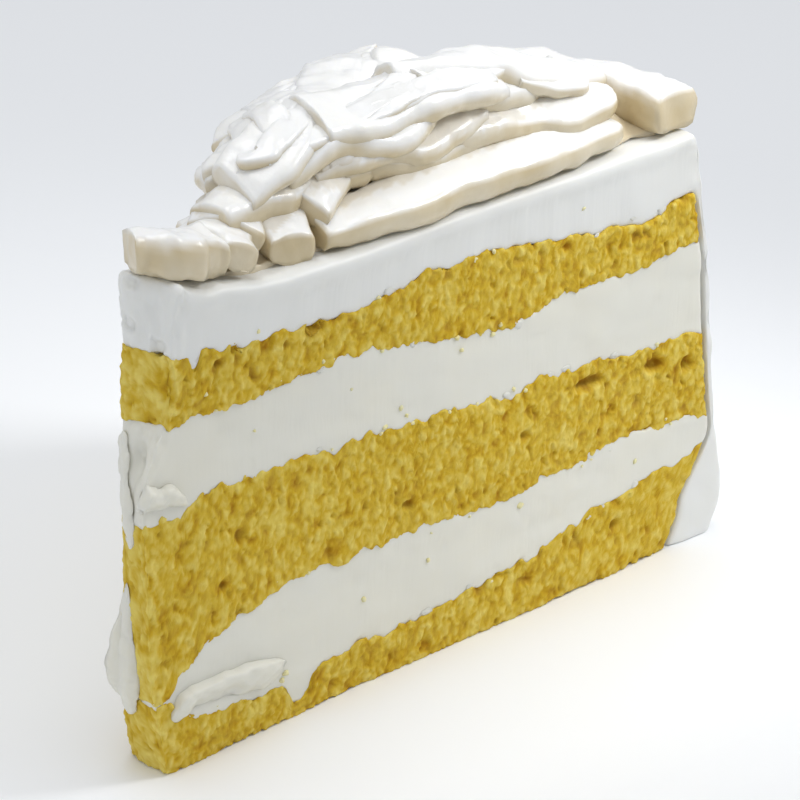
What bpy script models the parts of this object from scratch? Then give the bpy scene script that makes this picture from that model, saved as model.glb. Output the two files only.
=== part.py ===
"""A wedge slice of layer cake: three sponge layers, two whipped cream fillings, a frosting coat
over the top and the rim, and a heap of young coconut strips.

Metres, +Z up. The slice lies along +X, from its blunt tip to its rim. The cut face towards -Y is the
one that is seen, and the other faces +Y. The origin is at the middle of the underside of the box.
"""
import math
import random

import bmesh
import bpy
import numpy as np
from mathutils import Vector

MM = 0.001

# Driving sizes of the slice
WEDGE = math.radians(31)
BODY_HEIGHT = 66 * MM
RIM_RADIUS = 115 * MM
APEX_X = -66.8 * MM
GAP = 0.3 * MM
RIM_GAP = 0.6 * MM

# Frosting on the rim: a thin coat that thickens into a foot near the plate
COAT = 0.9 * MM
FOOT_COAT = 8.2 * MM
FOOT_TOP = 18 * MM
FOOT_BOTTOM = 6 * MM

# How far the rim stands out beyond its top edge, by height
RIM_HEIGHTS = [0, 4, 9, 14, 22, 36, 50, 60, 66]
RIM_FLARE = [6.0, 8.2, 8.7, 7.9, 6.5, 4.7, 2.9, 0.8, 0.0]

# The blunt tip: its distance from the apex on each cut face, by height
TIP_HEIGHTS = [0, 12, 30, 45, 50, 57, 66]
TIP_SEEN_FACE = [12.4, 10.6, 10.8, 12.0, 15.0, 15.7, 17.0]
TIP_BACK_FACE = [12.5, 11.0, 12.0, 12.5, 13.0, 14.0, 15.0]
TIP_ROUNDING = 2.5 * MM

# Heights of the layers' edges on the seen face, by distance from the apex
STATIONS = [10, 15, 22, 30, 45, 60, 75, 90, 105, 120]
LEVELS = {
    "base": [0.0] * 10,
    "lower_sponge": [10.4, 8.5, 7.0, 5.9, 6.6, 6.8, 8.8, 10.8, 13.2, 15.1],
    "lower_cream": [11.8, 14.1, 17.3, 20.1, 21.0, 20.8, 20.0, 20.7, 21.2, 19.3],
    "middle_sponge": [37.0, 37.2, 38.6, 38.7, 38.4, 38.3, 36.6, 36.6, 34.9, 34.9],
    "upper_cream": [50.4, 49.5, 50.3, 49.4, 50.6, 49.1, 46.5, 48.0, 48.3, 49.6],
    "upper_sponge": [60.6, 59.9, 59.0, 58.3, 57.3, 58.8, 58.8, 56.8, 55.6, 58.0],
    "frosting": [70.6, 70.6, 68.0, 66.2, 65.6, 65.8, 66.0, 66.2, 66.8, 66.5],
}
LEVEL_WAVE = 0.8 * MM
FACE_WAVE = 0.5 * MM

# Mesh counts of a layer: along the slice, across it and up it
CUTS_ALONG = 18
CUTS_ACROSS = 6
CUTS_DOWN_RIM = 12
RIM_CUT_BIAS = 1.35

# The heap of coconut: its core's height by distance from the apex, and its margin to the edges
CORE_STATIONS = [14, 22, 30, 45, 60, 80, 100, 115]
CORE_HEIGHTS = [1.5, 2.5, 4.5, 5.0, 6.0, 6.0, 5.0, 2.0]
CORE_EDGE_HEIGHT = 1.2 * MM
CORE_MARGIN = 3.5 * MM
CORE_SLOPE = 8 * MM
CORE_REACH = 4.5 * MM
CORE_ALONG = 16
CORE_ACROSS = 7

# Strips of coconut: cuts along, across and through each, how deep one beds into what it lies on,
# and the share of its thickness that the next one sinks into it
STRIP_CUTS = (9, 2, 2)
STRIP_SINK = 1.0 * MM
STRIP_SETTLE = 0.72
STRIP_CLEARANCE = 0.5 * MM
STRIP_MAX_ROLL = math.radians(32)
STRIP_MAX_CLIMB = math.tan(math.radians(34))
FIELD_STEP = 1.0 * MM
SLIVER = 0.004 * MM

# Strips that the seen face shows: plan points as (distance along the face from the apex,
# distance behind the face), then width and thickness. The first row lies on the frosting, and the
# second over the other strips.
FIRST_STRIPS = {
    "front": ([(44, 4.2), (62, 3.8), (80, 3.8), (101, 5.0)], 8.0, 4.6),
    "tip": ([(15.0, 6.4), (19.5, 4.6), (27, 4.6)], 8.4, 6.4),
    "low_end": ([(29, 1.2), (30.5, 8), (34, 16)], 7.4, 4.6),
    "lump": ([(38.5, 2.0), (40.5, 8), (48, 17)], 8.0, 5.0),
    "high_end": ([(32.0, 4.6), (35, 10), (41, 20)], 7.2, 4.6),
    "rim_end": ([(112.5, 1.6), (112, 8), (110, 18), (107, 32)], 10.5, 7.4),
    "low_wall": ([(29.5, 8.0), (38, 11), (52, 13)], 8.5, 5.0),
    "high_wall": ([(30, 8.5), (40, 9), (54, 14)], 8.5, 5.0),
    "sweep": ([(43.5, 4.6), (50, 8.5), (58, 16), (62, 26)], 8.5, 4.4),
}
LAST_STRIPS = {
    "over_gap": ([(66, 14), (80, 11.5), (93, 10.5), (104, 12)], 9.0, 4.6),
}

# The other strips, spread evenly over the heap, most of them pointing from the tip to the rim. The
# heap's end towards the tip stands back from it by LOOSE_START, and more so behind the seen face.
LOOSE_STRIPS = 27
LOOSE_START = 27.0
LOOSE_LEAN = 0.82
STRIP_WIDTHS = (7.5, 10.5)
STRIP_THICKNESSES = (3.8, 5.2)
STRIP_LENGTHS = (30, 56)
STRIP_REACH = (30, 101)
STRIP_MARGIN = 4.0
SEEN_MARGIN = 9.5
CROSSING_STEP = 4
SEED = 11

# Finishes of the plain solids: base colour and roughness
SPONGE_COLOUR = (0.62, 0.41, 0.06)
SPONGE_ROUGHNESS = 0.85
CREAM_COLOUR = (0.86, 0.87, 0.83)
CREAM_ROUGHNESS = 0.45
COCONUT_COLOUR = (0.93, 0.91, 0.84)
COCONUT_ROUGHNESS = 0.3


def clear_scene():
    """Removes whatever the file holds."""
    for item in list(bpy.data.objects):
        bpy.data.objects.remove(item, do_unlink=True)


def curve_value(stations, values, x):
    """A smooth curve through values given at stations."""
    slopes = np.gradient(values, stations)
    x = min(max(x, stations[0]), stations[-1])
    i = min(int(np.searchsorted(stations, x, side="right")) - 1, len(stations) - 2)
    span = stations[i + 1] - stations[i]
    u = (x - stations[i]) / span
    start = (1 + 2 * u) * (1 - u) ** 2 * values[i] + u * (1 - u) ** 2 * span * slopes[i]
    end = u * u * (3 - 2 * u) * values[i + 1] + u * u * (u - 1) * span * slopes[i + 1]
    return start + end


def ease(x):
    """Rises from 0 to 1 as x does, with flat ends."""
    x = min(max(x, 0.0), 1.0)
    return x * x * (3 - 2 * x)


def rim_radius(z):
    """The outside of the frosting on the rim, from the apex."""
    return RIM_RADIUS + curve_value(RIM_HEIGHTS, RIM_FLARE, z / MM) * MM


def coat(z):
    """The thickness of the frosting on the rim."""
    return COAT + FOOT_COAT * ease((FOOT_TOP - z) / (FOOT_TOP - FOOT_BOTTOM))


def tip_radius(across, z):
    """The blunt tip, from the apex, between the seen face (0) and the back face (1)."""
    seen = curve_value(TIP_HEIGHTS, TIP_SEEN_FACE, z / MM)
    back = curve_value(TIP_HEIGHTS, TIP_BACK_FACE, z / MM)
    return (seen + (back - seen) * across) * MM + TIP_ROUNDING * across ** 5


def level(name, radius, across):
    """The height of a layer's upper edge. It waves a little away from the seen face."""
    height = curve_value(STATIONS, LEVELS[name], radius / MM) * MM
    if name == "base":
        return height
    phase = 1.7 * list(LEVELS).index(name)
    wave = math.sin(radius / MM / 13 + phase) + math.sin(radius / MM / 29 - phase + 4 * across)
    return height + LEVEL_WAVE * across * wave / 2


def face_push(radius, z, across):
    """How far a cut face stands out: it waves as a knife leaves it."""
    wave = math.sin(radius / MM / 11 + z / MM / 17) + math.sin(radius / MM / 23 - z / MM / 9 + 2)
    return FACE_WAVE * wave / 2 * (1 - 2 * across) ** 2


def place(radius, across, z):
    """A point of the slice in world coordinates."""
    angle = (across - 0.5) * WEDGE
    push = face_push(radius, z, across)
    side = -1 if across < 0.5 else 1
    x = APEX_X + radius * math.cos(angle) - push * math.sin(WEDGE / 2)
    y = radius * math.sin(angle) + side * push * math.cos(WEDGE / 2)
    return Vector((x, y, z))


def new_object(name, bm, colour, roughness, group="layer_cake_slice"):
    """Makes an object of a bmesh, with its own material, in a collection."""
    mesh = bpy.data.meshes.new(name)
    bmesh.ops.recalc_face_normals(bm, faces=bm.faces)
    bm.to_mesh(mesh)
    bm.free()
    material = bpy.data.materials.new(name)
    material.use_nodes = True
    shader = material.node_tree.nodes["Principled BSDF"]
    shader.inputs["Base Color"].default_value = (*colour, 1)
    shader.inputs["Roughness"].default_value = roughness
    mesh.materials.append(material)
    item = bpy.data.objects.new(name, mesh)
    collection(group).objects.link(item)
    return item


def collection(name):
    """The collection of that name, made when it is first asked for."""
    if name not in bpy.data.collections:
        bpy.context.scene.collection.children.link(bpy.data.collections.new(name))
    return bpy.data.collections[name]


def block(cuts, bend):
    """A cube with cuts along each axis, bent by a function of its three 0 to 1 coordinates."""
    bm = bmesh.new()
    bmesh.ops.create_cube(bm, size=1)
    for axis, count in enumerate(cuts):
        lines = [edge for edge in bm.edges if abs((edge.verts[0].co - edge.verts[1].co)[axis]) > 1e-4]
        if count > 1:
            bmesh.ops.subdivide_edges(bm, edges=lines, cuts=count - 1, use_grid_fill=True)
    for vert in bm.verts:
        vert.co = bend(*(value + 0.5 for value in vert.co))
    return bm


def layer_block(under, over):
    """A bend for the layer between two levels, out to the inside of the rim's coat."""
    def bend(along, across, up):
        z = 0.0
        radius = RIM_RADIUS
        for _ in range(4):
            inner = tip_radius(across, z)
            outer = rim_radius(z) - coat(z) - RIM_GAP
            radius = inner + (outer - inner) * along
            low = level(under, radius, across) + (0 if under == "base" else GAP / 2)
            high = level(over, radius, across) - GAP / 2
            z = low + (high - low) * up
        return place(radius, across, z)
    return bend


def make_layer(name, under, over, cuts_up, colour, roughness):
    """One sponge or cream layer."""
    bm = block((CUTS_ALONG, CUTS_ACROSS, cuts_up), layer_block(under, over))
    return new_object(name, bm, colour, roughness)


def make_frosting(colour, roughness):
    """The coat over the top, which turns down the rim and ends in a thick foot."""
    top_share = CUTS_ALONG / (CUTS_ALONG + CUTS_DOWN_RIM)

    def bend(along, across, out):
        over_top = min(along / top_share, 1.0)
        down_rim = max((along - top_share) / (1 - top_share), 0.0)
        under_rim = level("upper_sponge", rim_radius(BODY_HEIGHT), across) + GAP / 2
        top_rim = level("frosting", RIM_RADIUS, across)
        points = []
        for is_outer in (False, True):
            corner = top_rim if is_outer else under_rim
            if down_rim > 0:
                z = corner * (1 - down_rim) ** RIM_CUT_BIAS
                radius = rim_radius(z) - (0 if is_outer else coat(z))
            else:
                z = corner
                for _ in range(4):
                    inner = tip_radius(across, z)
                    outer = rim_radius(corner) - (0 if is_outer else coat(corner))
                    radius = inner + (outer - inner) * over_top
                    z = level("frosting" if is_outer else "upper_sponge", radius, across)
                    z = z if is_outer else z + GAP / 2
                blend = ease((over_top - 0.9) / 0.1)
                z = z + (corner - z) * blend
            points.append(place(radius, across, z))
        return points[0].lerp(points[1], out)

    bm = block((CUTS_ALONG + CUTS_DOWN_RIM, CUTS_ACROSS, 1), bend)
    return new_object("frosting", bm, colour, roughness)


def face_to_world(along, into):
    """A plan point given along the seen face from the apex and behind it."""
    half = WEDGE / 2
    x = APEX_X + along * math.cos(half) + into * math.sin(half)
    y = -along * math.sin(half) + into * math.cos(half)
    return np.array((x, y))


def polar(x, y):
    """Distance from the apex, and the place across the slice, of a plan point."""
    radius = math.hypot(x - APEX_X, y)
    angle = math.atan2(y, x - APEX_X)
    return radius, angle / WEDGE + 0.5


def edge_distance(x, y):
    """How far inside the slice's top a plan point lies."""
    radius, across = polar(x, y)
    seen = radius * math.sin(across * WEDGE)
    back = radius * math.sin((1 - across) * WEDGE)
    tip = (radius - tip_radius(min(max(across, 0), 1), BODY_HEIGHT)) * 0.9
    return min(seen, back, tip, RIM_RADIUS - radius)


def core_height(x, y):
    """The height of the heap's core over the frosting."""
    radius, _ = polar(x, y)
    full = curve_value(CORE_STATIONS, CORE_HEIGHTS, radius / MM) * MM
    rise = ease((edge_distance(x, y) - CORE_MARGIN) / CORE_SLOPE)
    return CORE_EDGE_HEIGHT + (full - CORE_EDGE_HEIGHT) * rise


def frosting_top(x, y):
    """The height of the frosting at a plan point."""
    radius, across = polar(x, y)
    return level("frosting", radius, min(max(across, 0), 1))


def make_core(heap):
    """The mound under the strips. It fills the heap up to the strips that lie over it."""
    def bend(along, across, up):
        angle_inset = 0.5 + (across - 0.5) * 0.98
        tip = tip_radius(angle_inset, BODY_HEIGHT) + CORE_MARGIN
        radius = tip + (RIM_RADIUS - CORE_MARGIN - tip) * along
        inset = min(CORE_MARGIN / (radius * WEDGE), 0.35)
        share = inset + (1 - 2 * inset) * across
        angle = (share - 0.5) * WEDGE
        x = APEX_X + radius * math.cos(angle)
        y = radius * math.sin(angle)
        low = frosting_top(x, y) + STRIP_CLEARANCE
        high = max(low + core_height(x, y), heap.lowest_near(x, y))
        return Vector((x, y, low + (high - low) * up))

    bm = block((CORE_ALONG, CORE_ACROSS, 1), bend)
    return new_object("coconut_strips", bm, COCONUT_COLOUR, COCONUT_ROUGHNESS)


class Heap:
    """The growing heap: the height reached so far over a grid of plan points."""

    def __init__(self):
        self.low = np.array((APEX_X, -38 * MM))
        columns = int((RIM_RADIUS + 12 * MM) / FIELD_STEP)
        rows = int(76 * MM / FIELD_STEP)
        self.height = np.zeros((columns, rows))
        xs = self.low[0] + np.arange(columns) * FIELD_STEP
        ys = self.low[1] + np.arange(rows) * FIELD_STEP
        self.xs, self.ys = np.meshgrid(xs, ys, indexing="ij")
        for i in range(columns):
            for j in range(rows):
                x, y = xs[i], ys[j]
                base = frosting_top(x, y) + STRIP_CLEARANCE + STRIP_SINK
                core = core_height(x, y) if edge_distance(x, y) > CORE_MARGIN else 0.0
                self.height[i, j] = base + max(core - STRIP_SINK, 0.0)

    def at(self, point):
        """The height reached at a plan point."""
        index = np.round((point - self.low) / FIELD_STEP).astype(int)
        i = min(max(index[0], 0), self.height.shape[0] - 1)
        j = min(max(index[1], 0), self.height.shape[1] - 1)
        return self.height[i, j]

    def lowest_near(self, x, y):
        """The lowest height that the heap has around a plan point."""
        near = np.hypot(self.xs - x, self.ys - y) < CORE_REACH
        return float(self.height[near].min())

    def lay(self, plan, width, thickness):
        """Lays a strip on the heap, and gives its middle line and its roll at each point."""
        side = np.gradient(plan, axis=0)
        side = np.stack((-side[:, 1], side[:, 0]), axis=1)
        side /= np.linalg.norm(side, axis=1)[:, None]
        left = np.array([self.at(point + offset * width / 3) for point, offset in zip(plan, side)])
        right = np.array([self.at(point - offset * width / 3) for point, offset in zip(plan, side)])
        middle = np.array([self.at(point) for point in plan])
        roll = np.clip(np.arctan2(left - right, width * 2 / 3), -STRIP_MAX_ROLL, STRIP_MAX_ROLL)
        base = np.maximum(middle, np.maximum(left, right) - width / 3 * np.abs(np.tan(roll)))
        line = base.copy()
        climb = STRIP_MAX_CLIMB * np.linalg.norm(plan[1] - plan[0])
        for i in range(1, len(line)):
            line[i] = min(line[i], line[i - 1] + climb)
            line[-i - 1] = min(line[-i - 1], line[-i] + climb)
        for _ in range(4):
            line[1:-1] = np.maximum(line[1:-1], (line[:-2] + line[2:]) / 2)
            roll[1:-1] = (roll[:-2] + 2 * roll[1:-1] + roll[2:]) / 4
        centre = line + thickness / 2 - STRIP_SINK
        for point, offset, z, tilt in zip(plan, side, centre, roll):
            away = np.stack((self.xs - point[0], self.ys - point[1]), axis=-1)
            near = np.hypot(away[..., 0], away[..., 1]) < width / 2
            top = z + thickness * (0.5 - STRIP_SETTLE) + (away @ offset) * math.tan(tilt)
            self.height = np.where(near, np.maximum(self.height, top), self.height)
        return np.column_stack((plan, centre)), side, roll


def smooth_path(points, count):
    """Even steps along a smooth curve through plan points."""
    points = np.array(points, dtype=float)
    steps = np.concatenate(([0], np.cumsum(np.linalg.norm(np.diff(points, axis=0), axis=1))))
    fine = np.linspace(0, steps[-1], 60)
    curve = np.array([[curve_value(steps, points[:, axis], s) for axis in (0, 1)] for s in fine])
    length = np.concatenate(([0], np.cumsum(np.linalg.norm(np.diff(curve, axis=0), axis=1))))
    even = np.linspace(0, length[-1], count)
    return np.stack([np.interp(even, length, curve[:, axis]) for axis in (0, 1)], axis=1)


def loose_strip(draw, index):
    """The plan points, width and thickness of one of the strips that cover the heap."""
    nearest, furthest = STRIP_REACH
    share = (index * 0.618 + 0.3) % 1
    radius = math.sqrt(nearest ** 2 + share * (furthest ** 2 - nearest ** 2))
    angle = (0.08 + 0.84 * ((index * 0.755 + 0.37) % 1)) * WEDGE
    turn = draw.uniform(35, 75) if index % CROSSING_STEP == 0 else draw.uniform(-24, 24)
    heading = angle + math.radians(turn)
    length = draw.uniform(*STRIP_LENGTHS) * (0.7 if index % CROSSING_STEP == 0 else 1)
    bow = draw.uniform(-0.5, 0.5)
    points = []
    for step in (-0.5, -0.17, 0.17, 0.5):
        sideways = bow * length * (0.25 - step ** 2)
        along = radius * math.cos(angle) + step * length * math.cos(heading) - sideways * math.sin(heading)
        into = radius * math.sin(angle) + step * length * math.sin(heading) + sideways * math.cos(heading)
        reach = min(max(math.hypot(along, into), nearest), furthest + 2)
        nearer = min(SEEN_MARGIN / reach, WEDGE / 2)
        held = max(min(math.atan2(into, along), WEDGE - STRIP_MARGIN / reach), nearer)
        behind = reach * math.sin(held)
        points.append((max(reach * math.cos(held), LOOSE_START + LOOSE_LEAN * behind), behind))
    return points, draw.uniform(*STRIP_WIDTHS), draw.uniform(*STRIP_THICKNESSES)


def strip_block(heap, points, width, thickness):
    """Lays one strip of coconut on the heap and gives its block."""
    plan = smooth_path([face_to_world(a * MM, b * MM) for a, b in points], STRIP_CUTS[0] + 1)
    line, side, roll = heap.lay(plan, width * MM, thickness * MM)

    def bend(along, across, up):
        i = min(int(round(along * STRIP_CUTS[0])), STRIP_CUTS[0])
        taper = 1 - 0.18 * abs(2 * along - 1) ** 3
        crown = 1 - 0.35 * abs(2 * across - 1)
        bulge = 1 - 0.12 * abs(2 * up - 1)
        sideways = (across - 0.5) * width * MM * taper * bulge
        upwards = (up - 0.5) * thickness * MM * crown * taper
        direction = Vector((*side[i] * math.cos(roll[i]), math.sin(roll[i])))
        normal = Vector((*-side[i] * math.sin(roll[i]), math.cos(roll[i])))
        return Vector(line[i]) + direction * sideways + normal * upwards

    return block(STRIP_CUTS, bend)


def largest_shell(item):
    """Keeps the outer shell, which fills sealed hollows and drops loose scraps."""
    bm = bmesh.new()
    bm.from_mesh(item.data)
    bmesh.ops.remove_doubles(bm, verts=bm.verts, dist=SLIVER)
    bmesh.ops.dissolve_degenerate(bm, edges=bm.edges, dist=SLIVER)
    bmesh.ops.triangulate(bm, faces=bm.faces)
    left = set(bm.faces)
    shells = []
    while left:
        shell = set()
        reached = [left.pop()]
        while reached:
            face = reached.pop()
            shell.add(face)
            for edge in face.edges:
                beside = edge.link_faces if len(edge.link_faces) == 2 else ()
                for other in beside:
                    if other in left:
                        left.remove(other)
                        reached.append(other)
        shells.append(shell)
    keep = max(shells, key=len)
    bmesh.ops.delete(bm, geom=[face for face in bm.faces if face not in keep], context="FACES")
    rims = [edge for edge in bm.edges if len(edge.link_faces) == 1]
    bmesh.ops.holes_fill(bm, edges=rims)
    bmesh.ops.triangulate(bm, faces=bm.faces)
    bm.to_mesh(item.data)
    bm.free()


def make_heap():
    """The coconut: the core with the strips laid on it, joined by one union."""
    heap = Heap()
    draw = random.Random(SEED)
    cutters = collection("strips_to_join")
    jobs = list(FIRST_STRIPS.values())
    jobs += [loose_strip(draw, index) for index in range(LOOSE_STRIPS)]
    jobs += LAST_STRIPS.values()
    for index, (points, width, thickness) in enumerate(jobs):
        bm = strip_block(heap, points, width, thickness)
        strip = new_object(f"strip_{index:02d}", bm, COCONUT_COLOUR, COCONUT_ROUGHNESS, "strips_to_join")
        strip.hide_render = True
        strip.display_type = "WIRE"
    core = make_core(heap)
    union = core.modifiers.new("join", "BOOLEAN")
    union.operation = "UNION"
    union.solver = "MANIFOLD"
    union.operand_type = "COLLECTION"
    union.collection = cutters
    bpy.context.view_layer.update()
    joined = bpy.data.meshes.new_from_object(core.evaluated_get(bpy.context.evaluated_depsgraph_get()))
    core.modifiers.clear()
    core.data = joined
    for strip in list(cutters.objects):
        bpy.data.objects.remove(strip, do_unlink=True)
    largest_shell(core)
    return core


def main():
    """Builds the slice from the plate up."""
    clear_scene()
    sponge = (SPONGE_COLOUR, SPONGE_ROUGHNESS)
    cream = (CREAM_COLOUR, CREAM_ROUGHNESS)
    make_layer("sponge_bottom", "base", "lower_sponge", 3, *sponge)
    make_layer("cream_lower", "lower_sponge", "lower_cream", 3, *cream)
    make_layer("sponge_middle", "lower_cream", "middle_sponge", 3, *sponge)
    make_layer("cream_upper", "middle_sponge", "upper_cream", 2, *cream)
    make_layer("sponge_top", "upper_cream", "upper_sponge", 2, *sponge)
    make_frosting(*cream)
    make_heap()
    for item in collection("layer_cake_slice").objects:
        item.data.shade_smooth()
        item.data.set_sharp_from_angle(angle=math.radians(40))


main()
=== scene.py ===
"""The looks of a slice of layer cake: yellow sponge, whipped cream and a heap of young coconut.

Metres, +Z up. The slice lies along +X, from its blunt tip to its rim. The cut face towards -Y is the
one that the camera sees. Every piece is worked out from the same sizes as the solid that it replaces.
"""

import itertools
import logging
import math
import random
from dataclasses import dataclass, field
from enum import Enum

import bmesh
import bpy
import numpy as np
from mathutils import Euler, Matrix, Vector


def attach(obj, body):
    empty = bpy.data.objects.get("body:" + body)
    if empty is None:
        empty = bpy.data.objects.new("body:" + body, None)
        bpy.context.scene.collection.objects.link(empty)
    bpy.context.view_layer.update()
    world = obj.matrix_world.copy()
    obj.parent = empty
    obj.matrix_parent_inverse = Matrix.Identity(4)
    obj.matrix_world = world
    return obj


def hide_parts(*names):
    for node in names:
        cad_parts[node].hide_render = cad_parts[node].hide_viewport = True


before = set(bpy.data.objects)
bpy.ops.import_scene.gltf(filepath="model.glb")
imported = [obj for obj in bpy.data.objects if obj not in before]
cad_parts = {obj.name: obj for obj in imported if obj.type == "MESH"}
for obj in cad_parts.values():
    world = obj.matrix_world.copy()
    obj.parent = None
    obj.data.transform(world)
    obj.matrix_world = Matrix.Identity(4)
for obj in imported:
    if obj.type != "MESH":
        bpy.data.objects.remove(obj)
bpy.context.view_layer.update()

MM = 0.001
BODY = "root"
log = logging.getLogger("layer_cake_slice")

Colour = tuple[float, float, float]
Place = tuple[float, float, float]
Cuts = tuple[int, int, int]
Points = np.ndarray

# These numbers mix the bits of a cell's place and a seed into a random number.
CELL_PRIMES = (73856093, 19349663, 83492791)
SEED_PRIME = 2654435761
SEED_START = 12345
MIX_SHIFT = 33
MIX_FACTORS = (0xFF51AFD7ED558CCD, 0xC4CEB9FE1A85EC53)
KEPT_BITS = 24


class Edge(Enum):
    """The edges between the layers, from the base up."""

    BASE = 0
    LOWER_SPONGE = 1
    LOWER_CREAM = 2
    MIDDLE_SPONGE = 3
    UPPER_CREAM = 4
    UPPER_SPONGE = 5
    FROSTING = 6


class Slot(Enum):
    """The record's material slots."""

    SPONGE = "sponge"
    CREAM = "cream"
    COCONUT = "coconut"


def curve(stations: list[float], values: list[float], x: np.ndarray) -> np.ndarray:
    """Reads a smooth curve through values given at stations.

    Args:
        stations: where the values are given, rising.
        values: the values there.
        x: where to read the curve.

    Returns:
        The curve's value at each x.
    """
    at = np.asarray(stations, dtype=float)
    known = np.asarray(values, dtype=float)
    slopes = np.gradient(known, at)
    x = np.clip(x, at[0], at[-1])
    i = np.clip(np.searchsorted(at, x, side="right") - 1, 0, len(at) - 2)
    span = at[i + 1] - at[i]
    u = (x - at[i]) / span
    start = (1 + 2 * u) * (1 - u) ** 2 * known[i] + u * (1 - u) ** 2 * span * slopes[i]
    end = u * u * (3 - 2 * u) * known[i + 1] + u * u * (u - 1) * span * slopes[i + 1]
    return start + end


def ease(x: np.ndarray) -> np.ndarray:
    """Rises from 0 to 1 as x does, with flat ends."""
    x = np.clip(x, 0.0, 1.0)
    return x * x * (3 - 2 * x)


def bell(x: np.ndarray) -> np.ndarray:
    """A smooth hump of height 1 round zero."""
    return np.exp(-x * x)


def crowded(x: np.ndarray, share: float) -> np.ndarray:
    """Moves even steps from 0 to 1 towards both ends, where a surface bends most."""
    return x - share * np.sin(2 * math.pi * x) / (2 * math.pi)


def from_ends(x: np.ndarray) -> np.ndarray:
    """How far x is from the nearer of 0 and 1."""
    return np.minimum(x, 1 - x)


def lattice(cells: Points, seed: int) -> np.ndarray:
    """Gives each cell its own random number by mixing the bits of its whole numbers.

    Args:
        cells: whole numbers, three in each row.
        seed: which set of random numbers.

    Returns:
        A number from 0 to 1 for each cell.
    """
    mixed = (cells.astype(np.int64).view(np.uint64) * np.array(CELL_PRIMES, dtype=np.uint64)).sum(axis=-1)
    mixed += np.uint64(seed * SEED_PRIME + SEED_START)
    for factor in MIX_FACTORS:
        mixed ^= mixed >> np.uint64(MIX_SHIFT)
        mixed *= np.uint64(factor)
    return (mixed >> np.uint64(64 - KEPT_BITS)).astype(float) / 2 ** KEPT_BITS


def smooth_noise(points: Points, seed: int = 0) -> np.ndarray:
    """Soft noise from -1 to 1 whose lumps are one unit apart.

    Args:
        points: places, one row of three numbers for each.
        seed: which noise.

    Returns:
        One value for each place.
    """
    cell = np.floor(points)
    part = points - cell
    part = part * part * (3 - 2 * part)
    total = np.zeros(len(points))
    for corner in itertools.product((0, 1), repeat=3):
        share = np.prod(np.where(corner, part, 1 - part), axis=1)
        total += share * lattice(cell + corner, seed)
    return total * 2 - 1


def layered_noise(points: Points, octaves: int, seed: int = 0) -> np.ndarray:
    """Soft noise with finer noise on it, each octave half as big and half as strong.

    Args:
        points: places, one row of three numbers for each.
        octaves: how many sizes of lumps.
        seed: which noise.

    Returns:
        One value for each place.
    """
    total = np.zeros(len(points))
    for octave in range(octaves):
        total += smooth_noise(points * 2 ** octave, seed + octave) / 2 ** octave
    return total


def cell_noise(points: Points, seed: int = 0) -> tuple[np.ndarray, np.ndarray]:
    """Measures each place against scattered grain centres, one in each unit cell.

    Args:
        points: places, one row of three numbers for each.
        seed: which scatter.

    Returns:
        The distance to the nearest centre, and that centre's own number from 0 to 1.
    """
    cell = np.floor(points)
    nearest = np.full(len(points), np.inf)
    owner = np.zeros(len(points))
    for step in itertools.product((-1, 0, 1), repeat=3):
        beside = cell + step
        jitter = np.stack([lattice(beside, seed + axis) for axis in range(3)], axis=1)
        away = np.linalg.norm(beside + jitter - points, axis=1)
        owner = np.where(away < nearest, jitter[:, 0], owner)
        nearest = np.minimum(nearest, away)
    return nearest, owner


@dataclass(frozen=True)
class Texture:
    """Soft noise on a surface: its lumps' size in millimetres, its octaves, seed and stretch."""

    size: float
    octaves: int
    seed: int
    squash: Place = (1.0, 1.0, 1.0)

    def at(self, points: Points) -> np.ndarray:
        """Reads the noise at points given in millimetres."""
        return layered_noise(points * self.squash / self.size, self.octaves, self.seed)


# The textures of an edge that the crumb has torn, each with its share.
TEARS = (
    (0.50, Texture(5.5, 1, 3)),
    (0.60, Texture(2.2, 1, 5)),
    (0.78, Texture(1.0, 1, 7)),
    (0.54, Texture(0.5, 1, 9)),
)


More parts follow.
